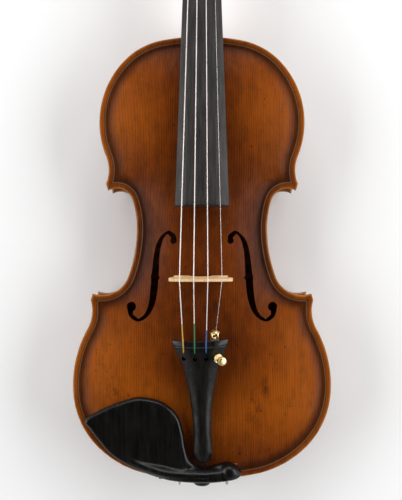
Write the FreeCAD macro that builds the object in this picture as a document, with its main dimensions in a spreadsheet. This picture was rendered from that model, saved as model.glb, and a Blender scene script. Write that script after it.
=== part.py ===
"""A full-size violin, strung and fitted with a chin rest, as separate pieces.

The violin lies on its back. X runs across it from the bass side to the treble side, Y runs along it from
the tail to the scroll, and Z is up through the table. The origin is the middle of the bounding box, at the
bottom, so that the lowest point of the back's arching lies on Z = 0. All sizes are in millimetres.

Each piece is one object of the document and goes to parts/ under its label.
"""

import FreeCAD
import Part
import Sketcher

import math
import os

from FreeCAD import Placement, Rotation, Vector

DIMENSIONS = {
    # Body: the outline is a chain of arcs, each a radius and the angle that it turns through.
    "tail_y": -291.6,
    "body_length": 356.3,
    "upper_r_a": 170.5,
    "upper_turn_a": -10.9,
    "upper_r_b": 57.7,
    "upper_turn_b": -36.5,
    "upper_r_c": 71.1,
    "upper_turn_c": -31.1,
    "upper_r_d": 72.2,
    "upper_turn_d": -33.7,
    "upper_r_e": 29.3,
    "upper_turn_e": 44.7,
    "waist_x": 75.6,
    "waist_v": 232.3,
    "waist_heading": 152.8,
    "waist_r_a": 15.0,
    "waist_turn_a": 29.1,
    "waist_r_b": 13.3,
    "waist_turn_b": 70.0,
    "waist_r_c": 73.6,
    "waist_turn_c": 18.9,
    "waist_r_d": 115.6,
    "waist_turn_d": 19.0,
    "waist_r_e": 22.8,
    "waist_turn_e": 62.2,
    "waist_r_f": 22.7,
    "waist_turn_f": 27.0,
    "lower_r_a": 222.2,
    "lower_turn_a": 11.0,
    "lower_r_b": 80.6,
    "lower_turn_b": 33.1,
    "lower_r_c": 68.0,
    "lower_turn_c": 41.7,
    "lower_r_d": 93.2,
    "lower_turn_d": 33.2,
    "lower_r_e": 30.1,
    "lower_turn_e": -45.2,
    "back_joint_z": 15.0,
    "rib_height": 31.0,
    "rib_thickness": 1.2,
    "edge_overhang": 2.7,
    "edge_thickness": 4.0,
    "arch_rise": 11.0,
    "plate_thickness": 3.0,
    "plate_rim": 9.5,
    "lining_thickness": 2.0,
    "lining_height": 7.5,
    "purfling_inset": 4.0,
    "purfling_width": 1.3,
    "purfling_depth": 1.6,
    "block_width": 50.0,
    "block_depth": 18.0,
    "corner_block_radius": 17.0,
    "back_button_radius": 10.5,
    "back_button_reach": 13.0,
    # Sound holes, bass bar and sound post.
    "upper_eye_x": 22.6,
    "upper_eye_v": 192.0,
    "upper_eye_radius": 2.6,
    "lower_eye_x": 56.4,
    "lower_eye_v": 139.3,
    "lower_eye_radius": 3.8,
    "bar_x": -17.0,
    "bar_width": 5.5,
    "bar_start_v": 44.0,
    "bar_length": 268.0,
    "bar_height": 11.0,
    "post_x": 19.5,
    "post_v": 155.5,
    "post_radius": 3.1,
    # Neck, fingerboard and nut.
    "neck_angle": 6.3,
    "overstand": 6.0,
    "neck_length": 130.0,
    "board_length": 270.0,
    "board_width_nut": 24.0,
    "board_width_end": 42.0,
    "board_edge": 5.0,
    "board_radius": 42.0,
    "nut_depth": 5.5,
    "nut_rise": 0.7,
    "neck_depth_nut": 12.2,
    "neck_depth_heel": 13.4,
    "heel_top_reach": 32.0,
    "mortise_depth": 7.0,
    # Head: pegbox and scroll, in a frame that leans back from the nut.
    "head_angle": 12.0,
    "pegbox_length": 68.0,
    "pegbox_width_nut": 25.5,
    "pegbox_width_end": 18.5,
    "cheek_nut": 5.2,
    "cheek_end": 4.0,
    "scroll_s": 84.0,
    "scroll_t": -1.9,
    "scroll_radius": 22.0,
    "scroll_shrink": 0.55,
    "scroll_turn_width": 10.5,
    "scroll_eye_width": 41.0,
    "scroll_eye_radius": 4.2,
    # Pegs.
    "peg_axis_t": -8.4,
    "peg_s_g": 15.5,
    "peg_s_e": 30.0,
    "peg_s_d": 44.5,
    "peg_s_a": 58.5,
    "peg_radius": 3.6,
    "peg_taper": 0.0167,
    "peg_clearance": 0.04,
    "peg_collar_radius": 4.9,
    "peg_collar_length": 2.4,
    "peg_stem_radius": 3.0,
    "peg_stem_length": 3.6,
    "peg_head_length": 15.0,
    "peg_head_width": 22.5,
    "peg_head_thickness": 6.8,
    # Bridge and strings.
    "bridge_v": 162.0,
    "bridge_shift": -1.0,
    "bridge_top_z": 94.0,
    "bridge_foot": 4.3,
    "bridge_edge": 1.5,
    "string_gap_nut": 5.5,
    "string_gap_bridge": 10.7,
    "string_d_g": 0.82,
    "string_d_d": 0.78,
    "string_d_a": 0.70,
    "string_d_e": 0.40,
    # Fine tuner on the E string.
    "tuner_pin_radius": 0.7,
    "tuner_pin_length": 6.2,
    "tuner_tube_radius": 2.6,
    "tuner_ring_radius": 3.7,
    "tuner_ring_height": 1.5,
    "tuner_screw_radius": 1.4,
    "tuner_screw_length": 18.0,
    "tuner_knob_radius": 3.4,
    # Tailpiece, tail gut, saddle and end button.
    "tail_end_v": 16.5,
    "tailpiece_slope": 8.0,
    "tailpiece_low_z": 58.4,
    "tailpiece_shift": 0.8,
    "tailpiece_yaw": 1.3,
    "tail_hole_gap": 8.7,
    "tailgut_radius": 0.9,
    "saddle_length": 34.0,
    "saddle_depth": 8.0,
    "saddle_height": 8.6,
    "endbutton_radius": 7.2,
    "endbutton_reach": 12.6,
    "endbutton_shaft": 4.0,
    # Chin rest and its clamp.
    "rest_floor_z": 63.0,
    "rest_rim_z": 72.0,
    "rest_foot_z": 53.0,
    "clamp_x": 18.8,
    "clamp_v": -1.75,
    "clamp_rod_radius": 1.15,
    "clamp_barrel_radius": 2.75,
    "clamp_barrel_length": 17.0,
    "clamp_clearance": 0.05,
}

doc = FreeCAD.newDocument("violin")
sheet = doc.addObject("Spreadsheet::Sheet", "dims")
for row, (alias, number) in enumerate(DIMENSIONS.items(), start=1):
    sheet.set(f"A{row}", alias)
    sheet.set(f"B{row}", str(number))
    sheet.setAlias(f"B{row}", alias)
doc.recompute()

pieces = []


def dim(alias):
    """A driving dimension, read from the sheet."""
    return float(sheet.get(alias))


def along(v):
    """The Y of a place v millimetres from the tail end of the body."""
    return v + dim("tail_y")


def piece(label, shape, frame=None):
    """A piece whose shape is made with Part's own functions, in the frame given."""
    made = doc.addObject("Part::Feature", label)
    made.Label = label
    made.Shape = shape
    made.Placement = frame or Placement()
    pieces.append(made)
    return made


# ---------------------------------------------------------------- outline and arching

TOP_JOINT_Z = dim("back_joint_z") + dim("rib_height")
TOP_EDGE_Z = TOP_JOINT_Z + dim("edge_thickness")
MIRROR_Z = dim("back_joint_z") + dim("rib_height") / 2


def turned(point, centre, angle):
    """A point carried round a centre, angle in radians."""
    away = point - centre
    cos, sin = math.cos(angle), math.sin(angle)
    return centre + Vector(away.x * cos - away.y * sin, away.x * sin + away.y * cos, 0)


def arc_chain(start, heading, prefix, letters):
    """Arcs that follow each other tangentially, as edges, and the place where they end."""
    point = start
    angle = math.radians(heading)
    edges = []
    for letter in letters:
        radius = dim(f"{prefix}_r_{letter}")
        turn = math.radians(dim(f"{prefix}_turn_{letter}"))
        side = math.copysign(1, turn)
        centre = point + Vector(-math.sin(angle), math.cos(angle), 0) * (side * radius)
        middle = turned(point, centre, turn / 2)
        end = turned(point, centre, turn)
        edges.append(Part.Arc(point, middle, end).toShape())
        point = end
        angle += turn
    return edges, point


def half_outline():
    """The treble half of the body's outline, from the top of the centre line to the bottom."""
    upper, upper_tip = arc_chain(Vector(0, along(dim("body_length")), 0), 0, "upper", "abcde")
    waist_start = Vector(dim("waist_x"), along(dim("waist_v")), 0)
    waist, waist_end = arc_chain(waist_start, dim("waist_heading"), "waist", "abcdef")
    lower, lower_tip = arc_chain(Vector(0, along(0), 0), 0, "lower", "abcde")
    corners = [
        Part.LineSegment(upper_tip, waist_start).toShape(),
        Part.LineSegment(waist_end, lower_tip).toShape(),
    ]
    return upper + corners + waist + lower, upper_tip, waist_start, waist_end, lower_tip


half_edges, UPPER_TIP, WAIST_START, WAIST_END, LOWER_TIP = half_outline()
other_half = [edge.mirror(Vector(0, 0, 0), Vector(1, 0, 0)) for edge in half_edges]
OUTLINE = Part.Wire(Part.__sortEdges__(half_edges + other_half))


def inset(distance):
    """The outline moved inwards, as a face."""
    wire = OUTLINE.makeOffset2D(-distance, 2) if distance else OUTLINE
    return Part.Face(wire)


def prism(face, low, high):
    """A face in the XY plane made into a solid between two heights."""
    moved = face.copy()
    moved.translate(Vector(0, 0, low))
    return moved.extrude(Vector(0, 0, high - low))


def band(outer, inner, low, high):
    """The strip between two insets of the outline."""
    return prism(inset(outer), low, high).cut(prism(inset(inner), low - 1, high + 1))


SAMPLE_STEP = 3.0
GRID_STEP = 4.0
GRID_MARGIN = 8.0


def outline_points():
    """The outline as a closed polyline."""
    points = []
    for edge in OUTLINE.OrderedEdges:
        count = max(2, int(edge.Length / SAMPLE_STEP) + 1)
        steps = edge.discretize(Number=count)
        if edge.Orientation == "Reversed":
            steps.reverse()
        points += [(p.x, p.y) for p in steps[:-1]]
    return points


POLYLINE = outline_points()
SEGMENTS = list(zip(POLYLINE, POLYLINE[1:] + POLYLINE[:1]))


def is_inside(x, y):
    """Whether a place is inside the outline, by counting the sides that a ray crosses."""
    inside = False
    for (ax, ay), (bx, by) in SEGMENTS:
        if (ay > y) != (by > y) and x < ax + (y - ay) / (by - ay) * (bx - ax):
            inside = not inside
    return inside


def depth(x, y):
    """How far inside the outline a place is, smoothed.

    Each stretch of edge adds the integral of one over distance cubed. Two over that sum, under a
    square root, is the true distance beside a straight edge and stays smooth in the corners.
    """
    total = 0.0
    for (ax, ay), (bx, by) in SEGMENTS:
        length = math.hypot(bx - ax, by - ay)
        ux, uy = (bx - ax) / length, (by - ay) / length
        first = (ax - x) * ux + (ay - y) * uy
        last = first + length
        height2 = max(((ax - x) * uy - (ay - y) * ux) ** 2, 1e-6)
        total += (last / math.sqrt(last**2 + height2) - first / math.sqrt(first**2 + height2)) / height2
    return math.sqrt(2 / total)


CHANNEL_DEPTH = 0.8
CHANNEL_INSET = 7.0
CHANNEL_SPREAD = 3.2
ARCH_START = 6.0
ARCH_REACH = 45.0
LENGTHWISE_FALL = 0.22


def arch_height(place_depth, middle_depth, v):
    """Height of the outer surface above the edge: a fluted channel, then an S-shaped rise to the middle."""
    reach = (middle_depth + ARCH_REACH + math.hypot(middle_depth - ARCH_REACH, 8.0)) / 2
    share = min(1.0, max(0.0, (place_depth - ARCH_START) / (reach - ARCH_START)))
    rise = 1 - (1 - share**1.4) ** 2.2
    half = dim("body_length") / 2
    swell = 1 - LENGTHWISE_FALL * ((v - half) / half) ** 2
    dip = CHANNEL_DEPTH * math.exp(-(((place_depth - CHANNEL_INSET) / CHANNEL_SPREAD) ** 2))
    return rise * swell, dip


def arch_face():
    """The outer surface of the top as one smooth face over a rectangle that holds the outline."""
    half_width = max(x for x, _ in POLYLINE) + GRID_MARGIN
    columns = int(half_width / GRID_STEP) + 1
    rows = int((dim("body_length") + 2 * GRID_MARGIN) / GRID_STEP) + 1
    xs = [half_width * i / columns for i in range(columns + 1)]
    vs = [-GRID_MARGIN + (dim("body_length") + 2 * GRID_MARGIN) * j / rows for j in range(rows + 1)]
    rises = []
    for v in vs:
        y = along(v)
        middle = depth(0, y) if is_inside(0, y) else 0.0
        line = []
        for x in xs:
            line.append(arch_height(depth(x, y) if is_inside(x, y) else 0.0, middle, v))
        rises.append(line)
    tallest = max(rise for line in rises for rise, _ in line)
    poles = []
    for i in range(-columns, columns + 1):
        column = []
        for v, line in zip(vs, rises):
            rise, dip = line[abs(i)]
            z = TOP_EDGE_Z + dim("arch_rise") * rise / tallest - dip
            column.append(Vector(math.copysign(xs[abs(i)], i), along(v), z))
        poles.append(column)
    surface = Part.BSplineSurface()
    surface.interpolate(poles)
    return surface.toShape()


ARCH = arch_face()
UNDER_ARCH = ARCH.extrude(Vector(0, 0, -70))


def under_arch(drop):
    """Everything below the arched surface, moved down by drop."""
    moved = UNDER_ARCH.copy()
    moved.translate(Vector(0, 0, -drop))
    return moved


def to_back(shape):
    """The same shape on the back plate's side of the body."""
    return shape.mirror(Vector(0, 0, MIRROR_Z), Vector(0, 0, 1))


# ---------------------------------------------------------------- plates and their purfling

HOLE_OUTER = [(20.1, 191.2), (20.8, 196.0), (23.6, 198.6), (27.3, 199.8), (33.5, 194.7), (37.1, 186.9),
              (39.4, 172.7), (40.9, 156.0), (42.0, 144.5), (43.7, 137.6), (46.3, 132.9), (50.6, 129.6)]
HOLE_INNER = [(60.2, 139.2), (57.9, 131.6), (51.1, 127.6), (43.5, 131.2), (38.2, 139.6), (35.5, 151.3),
              (34.4, 166.0), (33.6, 182.0), (31.0, 192.6), (27.0, 198.0)]
NOTCH_V = 162.5
NOTCH = 1.4


def spline_edge(points):
    """A smooth curve through points given across and from the tail."""
    curve = Part.BSplineCurve()
    curve.interpolate([Vector(x, along(v), 0) for x, v in points])
    return curve.toShape()


def sound_hole():
    """The treble sound hole's outline as a tall solid: the curved slot, its two eyes and its two notches."""
    low, high = TOP_JOINT_Z - 2, TOP_EDGE_Z + 20
    outer, inner = HOLE_OUTER, HOLE_INNER
    lower_eye = Vector(dim("lower_eye_x"), along(dim("lower_eye_v")), 0)
    upper_eye = Vector(dim("upper_eye_x"), along(dim("upper_eye_v")), 0)
    start, end = Vector(outer[0][0], along(outer[0][1]), 0), Vector(outer[-1][0], along(outer[-1][1]), 0)
    back, tip = Vector(inner[0][0], along(inner[0][1]), 0), Vector(inner[-1][0], along(inner[-1][1]), 0)
    edges = [
        spline_edge(outer),
        Part.LineSegment(end, lower_eye).toShape(),
        Part.LineSegment(lower_eye, back).toShape(),
        spline_edge(inner),
        Part.LineSegment(tip, upper_eye).toShape(),
        Part.LineSegment(upper_eye, start).toShape(),
    ]
    slot = prism(Part.Face(Part.Wire(edges)), low, high)
    shapes = []
    for centre, alias in ((upper_eye, "upper_eye_radius"), (lower_eye, "lower_eye_radius")):
        shapes.append(Part.makeCylinder(dim(alias), high - low, centre + Vector(0, 0, low)))
    for x, side in ((34.7, -1), (40.3, 1)):
        corners = [(x - side, NOTCH_V - NOTCH), (x + side * NOTCH, NOTCH_V), (x - side, NOTCH_V + NOTCH)]
        points = [Vector(cx, along(cv), 0) for cx, cv in corners]
        shapes.append(prism(Part.Face(Part.makePolygon(points + points[:1])), low, high))
    return slot.multiFuse(shapes).removeSplitter()


def block_space(low, high):
    """The room that the neck block and the end block take, as two boxes."""
    width, deep = dim("block_width"), dim("block_depth")
    end = Part.makeBox(width, deep, high - low, Vector(-width / 2, along(0), low))
    top_y = along(dim("body_length")) - deep
    neck = Part.makeBox(width, deep, high - low, Vector(-width / 2, top_y, low))
    return end, neck


def plate_blank():
    """An arched plate, hollow below, flat where the ribs and blocks are glued to it."""
    solid = prism(inset(0), TOP_JOINT_Z, TOP_EDGE_Z + 30).common(UNDER_ARCH)
    hollow = prism(inset(dim("plate_rim")), TOP_JOINT_Z - 1, TOP_EDGE_Z + 30)
    hollow = hollow.common(under_arch(dim("plate_thickness")))
    for block in block_space(TOP_JOINT_Z - 2, TOP_EDGE_Z + 30):
        hollow = hollow.cut(block)
    return solid.cut(hollow)


def purfling_strip():
    """The inlaid strip, as deep as its groove, below the arched surface."""
    inner = dim("purfling_inset") + dim("purfling_width")
    ring = band(dim("purfling_inset"), inner, TOP_JOINT_Z + 0.5, TOP_EDGE_Z + 10)
    return ring.common(UNDER_ARCH).cut(under_arch(dim("purfling_depth")))


PURFLING = purfling_strip()
BLANK = plate_blank().cut(PURFLING)
CAVITY = prism(inset(dim("edge_overhang") + dim("rib_thickness")), dim("back_joint_z"), TOP_JOINT_Z)


# ---------------------------------------------------------------- shared shapes and frames

Y_TOP = along(dim("body_length"))
NUT_Z = TOP_EDGE_Z + dim("overstand") - dim("neck_length") * math.tan(math.radians(dim("neck_angle")))
NECK = Placement(Vector(0, Y_TOP + dim("neck_length"), NUT_Z), Rotation(Vector(1, 0, 0), -dim("neck_angle")))
HEAD_START = NECK.multVec(Vector(0, dim("nut_depth"), 0))
HEAD = Placement(HEAD_START, Rotation(Vector(1, 0, 0), -dim("head_angle")))
TAIL = Placement(
    Vector(dim("tailpiece_shift"), along(dim("tail_end_v")), dim("tailpiece_low_z")),
    Rotation(Vector(0, 0, 1), dim("tailpiece_yaw")).multiply(Rotation(Vector(1, 0, 0), dim("tailpiece_slope"))),
)


def placed(shape, frame):
    """A copy of a shape carried into a frame."""
    moved = shape.copy()
    moved.transformShape(frame.toMatrix(), True)
    return moved


def rod(start, end, radius):
    """A round bar between two places."""
    way = end - start
    return Part.makeCylinder(radius, way.Length, start, way)


def bent_rod(points, radius):
    """Round bars joined end to end, with balls at the bends."""
    shapes = [rod(a, b, radius) for a, b in zip(points, points[1:])]
    shapes += [Part.makeSphere(radius, point) for point in points[1:-1]]
    return shapes[0].multiFuse(shapes[1:]) if len(shapes) > 1 else shapes[0]


def without(shape, others):
    """A shape with the room of several others cut out of it."""
    for other in others:
        shape = shape.cut(other)
    return shape


def side_prism(points, half_width):
    """A closed outline in the YZ plane made as wide as asked, evenly about the middle."""
    corners = [Vector(-half_width, y, z) for y, z in points]
    return Part.Face(Part.makePolygon(corners + corners[:1])).extrude(Vector(2 * half_width, 0, 0))


def plan_prism(points, low, high):
    """A closed outline in the XY plane made into a solid between two heights."""
    corners = [Vector(x, y, low) for x, y in points]
    return Part.Face(Part.makePolygon(corners + corners[:1])).extrude(Vector(0, 0, high - low))


def crowned(half_width, edge, crown, y, base=0.0):
    """A section across Y: flat below, upright at the sides and arched above."""
    foot_left, foot_right = Vector(-half_width, y, base), Vector(half_width, y, base)
    left, right = Vector(-half_width, y, edge), Vector(half_width, y, edge)
    return Part.Wire([
        Part.LineSegment(foot_left, foot_right).toShape(),
        Part.LineSegment(foot_right, right).toShape(),
        Part.Arc(right, Vector(0, y, edge + crown), left).toShape(),
        Part.LineSegment(left, foot_left).toShape(),
    ])


def sagitta(half_width, radius):
    """How far an arc of this radius rises over a chord."""
    return radius - math.sqrt(radius**2 - half_width**2)


# ---------------------------------------------------------------- pieces turned on a lathe or cut from a slab


def sketch_in(body, name, plane, points):
    """A closed sketch of straight lines on one of a body's own planes.

    Each corner is a pair of expressions. A corner on an axis is held to it, the others by two distances.
    """
    sketch = body.newObject("Sketcher::SketchObject", name)
    support = next(p for p in body.Origin.OriginFeatures if p.Role == plane)
    sketch.AttachmentSupport = (support, [""])
    sketch.MapMode = "FlatFace"
    values = [tuple(float(sheet.evalExpression(text)) for text in corner) for corner in points]
    places = [Vector(x, y, 0) for x, y in values]
    for index, place in enumerate(places):
        sketch.addGeometry(Part.LineSegment(place, places[(index + 1) % len(places)]), False)
    for index in range(len(places)):
        following = (index + 1) % len(places)
        sketch.addConstraint(Sketcher.Constraint("Coincident", index, 2, following, 1))
    for index, ((x, y), texts) in enumerate(zip(values, points)):
        for kind, axis, value, text in (("DistanceX", -2, x, texts[0]), ("DistanceY", -1, y, texts[1])):
            if abs(value) < 1e-9:
                sketch.addConstraint(Sketcher.Constraint("PointOnObject", index, 1, axis))
                continue
            number = sketch.addConstraint(Sketcher.Constraint(kind, -1, 1, index, 1, value))
            sketch.setExpression(f"Constraints[{number}]", text)
    return sketch


def new_body(label, frame):
    """An empty body with its own label and placement."""
    body = doc.addObject("PartDesign::Body", label)
    body.Label = label
    body.Placement = frame
    pieces.append(body)
    return body


def revolve_in(body, points):
    """A solid of revolution about the body's Z axis."""
    sketch = sketch_in(body, f"{body.Name}_profile", "XZ_Plane", points)
    turned_solid = body.newObject("PartDesign::Revolution", f"{body.Name}_turned")
    turned_solid.Profile = (sketch, [""])
    turned_solid.ReferenceAxis = (sketch, ["V_Axis"])
    turned_solid.Angle = 360.0
    body.Tip = turned_solid
    sketch.Visibility = False
    return turned_solid


def lathe(label, frame, points):
    """A piece that is one solid of revolution."""
    body = new_body(label, frame)
    revolve_in(body, points)
    return body


# ---------------------------------------------------------------- body


def neck_root():
    """The heel of the neck and the root that is let into the body, in the body's own frame."""
    low, high = dim("back_joint_z"), TOP_EDGE_Z + dim("overstand")
    inner_y = Y_TOP - dim("mortise_depth")
    curve = [(Y_TOP + 11.0, low), (Y_TOP + 12.5, low + 8), (Y_TOP + 15.0, low + 16), (Y_TOP + 19.5, low + 22),
             (Y_TOP + 27.0, low + 25.2), (Y_TOP + 38.0, low + 26.0)]
    top = high - 38.0 * math.tan(math.radians(dim("neck_angle")))
    profile = [(inner_y, low)] + curve + [(Y_TOP + 38.0, top), (inner_y, high + 0.7)]
    half_low, half_high = dim("back_button_radius"), dim("heel_top_reach") / 2
    corners = [Vector(-half_low, 0, low), Vector(half_low, 0, low), Vector(half_high, 0, high + 2),
               Vector(-half_high, 0, high + 2)]
    front = Part.Face(Part.makePolygon(corners + corners[:1]))
    front.translate(Vector(0, inner_y - 1, 0))
    return side_prism(profile, 20).common(front.extrude(Vector(0, 60, 0)))


NECK_ROOT = neck_root()


def saddle_seat():
    """The block of room that the saddle fills at the tail end of the top."""
    half = dim("saddle_length") / 2
    return Part.makeBox(2 * half, dim("saddle_depth") + 20, 30, Vector(-half, along(-20), TOP_JOINT_Z))


def add_plates():
    """Top with its sound holes, back with its button, and the strip inlaid round each."""
    hole = sound_hole()
    holes = [hole, hole.mirror(Vector(0, 0, 0), Vector(1, 0, 0))]
    openings = holes + [NECK_ROOT, saddle_seat()]
    piece("top_plate", BLANK.cut(Part.makeCompound(openings[:2])).cut(openings[2]).cut(openings[3]))
    piece("purfling_top", PURFLING.cut(openings[2]).cut(openings[3]))
    reach, radius = dim("back_button_reach"), dim("back_button_radius")
    centre = Vector(0, Y_TOP + reach - radius, dim("back_joint_z") - dim("edge_thickness"))
    button = Part.makeCylinder(radius, dim("edge_thickness"), centre)
    button = button.fuse(Part.makeBox(2 * radius, 9, dim("edge_thickness"), centre - Vector(radius, 9, 0)))
    back = to_back(BLANK).fuse(button.cut(to_back(PURFLING)))
    piece("back_plate", back.removeSplitter())
    piece("purfling_back", to_back(PURFLING))


def add_ribs():
    """Six ribs: an upper, a middle and a lower one on each side, meeting at the corners."""
    low, high = dim("back_joint_z"), TOP_JOINT_Z
    ring = band(dim("edge_overhang"), dim("edge_overhang") + dim("rib_thickness"), low, high)
    bore = Part.makeCylinder(dim("endbutton_shaft"), 40, Vector(0, along(-10), MIRROR_Z), Vector(0, 1, 0))
    ring = ring.cut(NECK_ROOT).cut(bore)
    upper_split = (UPPER_TIP.y + WAIST_START.y) / 2
    lower_split = (LOWER_TIP.y + WAIST_END.y) / 2
    spans = (("lower", along(-20), lower_split), ("middle", lower_split, upper_split),
             ("upper", upper_split, Y_TOP + 20))
    for name, start, end in spans:
        for side, x in (("bass", -150), ("treble", 0)):
            window = Part.makeBox(150, end - start, high - low + 2, Vector(x, start, low - 1))
            piece(f"rib_{name}_{side}", ring.common(window))


def add_blocks_and_linings():
    """Neck block, end block, two pairs of corner blocks, and the linings glued between them."""
    low, high = dim("back_joint_z"), TOP_JOINT_Z
    end_box, neck_box = block_space(low, high)
    bore = Part.makeCylinder(dim("endbutton_shaft"), 60, Vector(0, along(-10), MIRROR_Z), Vector(0, 1, 0))
    piece("end_block", CAVITY.common(end_box).cut(bore))
    piece("neck_block", CAVITY.common(neck_box).cut(NECK_ROOT))
    filled = [end_box, neck_box]
    for name, tip in (("upper", UPPER_TIP), ("lower", LOWER_TIP)):
        posts = []
        for sign in (-1, 1):
            corner = Vector(sign * tip.x, tip.y, low)
            posts.append(Part.makeCylinder(dim("corner_block_radius"), high - low, corner))
        piece(f"corner_blocks_{name}", Part.makeCompound([CAVITY.common(post) for post in posts]))
        filled += posts
    outer = dim("edge_overhang") + dim("rib_thickness")
    strip = band(outer, outer + dim("lining_thickness"), high - dim("lining_height"), high)
    for post in filled:
        strip = strip.cut(post)
    piece("linings_top", strip)
    piece("linings_back", to_back(strip))


def add_bar_and_post():
    """The bass bar glued under the top, and the sound post standing between the plates."""
    ceiling = under_arch(dim("plate_thickness"))
    start, length, height = along(dim("bar_start_v")), dim("bar_length"), dim("bar_height")
    crest = TOP_EDGE_Z + dim("arch_rise") - dim("plate_thickness")
    belly = [(start, crest - 5), (start + length * 0.3, crest - height), (start + length * 0.7, crest - height),
             (start + length, crest - 5), (start + length, crest + 4), (start, crest + 4)]
    bar = side_prism(belly, dim("bar_width") / 2)
    bar.translate(Vector(dim("bar_x"), 0, 0))
    piece("bass_bar", bar.common(ceiling))
    foot = Vector(dim("post_x"), along(dim("post_v")), 0)
    post = Part.makeCylinder(dim("post_radius"), TOP_EDGE_Z + 20, foot)
    piece("sound_post", post.common(ceiling).common(to_back(ceiling)))


# ---------------------------------------------------------------- neck, head, fingerboard, nut and saddle


def add_neck():
    """The handle: a rounded shaft from the nut to the heel, and the heel's root in the body."""
    sections = []
    for y, half_width, deep in ((dim("nut_depth"), dim("board_width_nut") / 2, dim("neck_depth_nut")),
                                (-30, 12.9, dim("neck_depth_nut") + 0.2), (-104, 15.6, dim("neck_depth_heel"))):
        left, right = Vector(-half_width, y, 0), Vector(half_width, y, 0)
        low_left, low_right = Vector(-half_width, y, -2.5), Vector(half_width, y, -2.5)
        curve = Part.BSplineCurve()
        curve.interpolate([low_right, Vector(half_width * 0.72, y, -deep * 0.78), Vector(0, y, -deep),
                           Vector(-half_width * 0.72, y, -deep * 0.78), low_left])
        sections.append(Part.Wire([
            Part.LineSegment(left, right).toShape(),
            Part.LineSegment(right, low_right).toShape(),
            curve.toShape(),
            Part.LineSegment(low_left, left).toShape(),
        ]))
    shaft = placed(Part.makeLoft(sections, True, False), NECK)
    board_space = Part.makeBox(80, 400, 60, Vector(-40, -330, 0))
    root = NECK_ROOT.cut(placed(board_space, NECK))
    piece("neck", shaft.fuse(root).removeSplitter())


BACK_CURVE = [(0, -12.2), (6, -16.6), (13, -21.0), (22, -23.6), (34, -23.2), (48, -20.4), (58, -18.2),
              (65, -18.4), (72, -21.5)]
CAVITY_SIDE = [(4.5, 3.0), (63.0, 3.0), (63.0, -12.5), (58.5, -14.2), (48.0, -16.0), (34.0, -18.4),
               (22.0, -18.8), (12.0, -15.5)]
SLICE = 30.0
SLICES = 31


def scroll_slices(centre):
    """The scroll as slices of a shrinking spiral that get wider towards the eye."""
    start = -120.0
    shrink = math.log(dim("scroll_shrink")) / 360.0
    slices = []
    for index in range(SLICES):
        angle = start + index * SLICE
        corners = [centre]
        for step in (0, 0.5, 1):
            direction = math.radians(angle + step * SLICE)
            radius = dim("scroll_radius") * math.exp(shrink * (angle + step * SLICE + 90))
            corners.append(centre + Vector(0, radius * math.cos(direction), radius * math.sin(direction)))
        turns = (angle + 0.5 * SLICE - start) / 360.0
        narrowing = 4.2 * max(0.0, 1 - turns / 0.55)
        widening = (dim("scroll_eye_width") - dim("scroll_turn_width")) / 2 * max(0.0, (turns - 0.55) / 2.0)
        half = dim("scroll_turn_width") / 2 + narrowing + widening
        face = Part.Face(Part.makePolygon(corners + corners[:1]))
        face.translate(Vector(-half, 0, 0))
        slices.append(face.extrude(Vector(2 * half, 0, 0)))
    radius = dim("scroll_eye_radius")
    width = dim("scroll_eye_width")
    slices.append(Part.makeCylinder(radius, width, centre - Vector(width / 2, 0, 0), Vector(1, 0, 0)))
    return slices


def peg_frame(s, sign):
    """A peg's frame: Z along it towards its head, from the middle of the pegbox."""
    return HEAD.multiply(Placement(Vector(0, s, dim("peg_axis_t")), Rotation(Vector(0, 1, 0), 90 * sign)))


PEGS = (("g", -1), ("e", 1), ("d", -1), ("a", 1))


def add_head():
    """The pegbox with its hollow and peg holes, and the scroll at its end."""
    centre = Vector(0, dim("scroll_s"), dim("scroll_t"))
    side = [(0, 0)] + BACK_CURVE + [(dim("scroll_s"), dim("scroll_t")), (68, 0)]
    length, end_half = dim("pegbox_length"), dim("pegbox_width_end") / 2
    nut_half = dim("pegbox_width_nut") / 2
    plan = [(-nut_half, 0), (nut_half, 0), (end_half, length), (6.5, 86), (-6.5, 86), (-end_half, length)]
    box = side_prism(side, 20).common(plan_prism(plan, -40, 20))
    inner_nut, inner_end = nut_half - dim("cheek_nut"), end_half - dim("cheek_end")
    inner = [(-inner_nut, 0), (inner_nut, 0), (inner_end, length), (-inner_end, length)]
    hollow = side_prism(CAVITY_SIDE, 20).common(plan_prism(inner, -40, 20))
    head = box.multiFuse(scroll_slices(centre)).cut(hollow)
    neck_space = Part.makeBox(80, 100, 100, Vector(-40, dim("nut_depth") - 100, -60))
    head = placed(head, HEAD).cut(placed(neck_space, NECK))
    for name, sign in PEGS:
        reach = 20.0
        middle = dim("peg_radius") + dim("peg_clearance")
        taper = dim("peg_taper") * reach
        bore = Part.makeCone(middle - taper, middle + taper, 2 * reach, Vector(0, 0, -reach))
        head = head.cut(placed(bore, peg_frame(dim(f"peg_s_{name}"), sign)))
    piece("head", head.removeSplitter())


def board_section(width, y, extra=0.0):
    """The fingerboard's section at a place along it, made taller by extra."""
    return crowned(width / 2, dim("board_edge") + extra, sagitta(width / 2, dim("board_radius")), y)


def add_fingerboard_nut_saddle(wires, gut):
    """The fingerboard, the notched nut at its upper end, and the saddle at the tail end of the top."""
    board = [board_section(dim("board_width_nut"), 0), board_section(dim("board_width_end"), -dim("board_length"))]
    piece("fingerboard", Part.makeLoft(board, True, True), NECK)
    nut = [board_section(dim("board_width_nut"), y, dim("nut_rise")) for y in (0, dim("nut_depth"))]
    piece("nut", without(placed(Part.makeLoft(nut, True, True), NECK), wires))
    low, high, half = TOP_JOINT_Z, TOP_JOINT_Z + dim("saddle_height"), dim("saddle_length") / 2
    start, end = along(0.3), along(dim("saddle_depth"))
    rounded = [(start, low), (end, low), (end, high - 2.6), (end - 2.5, high - 0.6), (end - 5, high),
               (start + 1.2, high - 0.4), (start, high - 1.6)]
    piece("saddle", side_prism(rounded, half).cut(gut))


# ---------------------------------------------------------------- pegs and their windings


WRAP = 4.2


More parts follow.
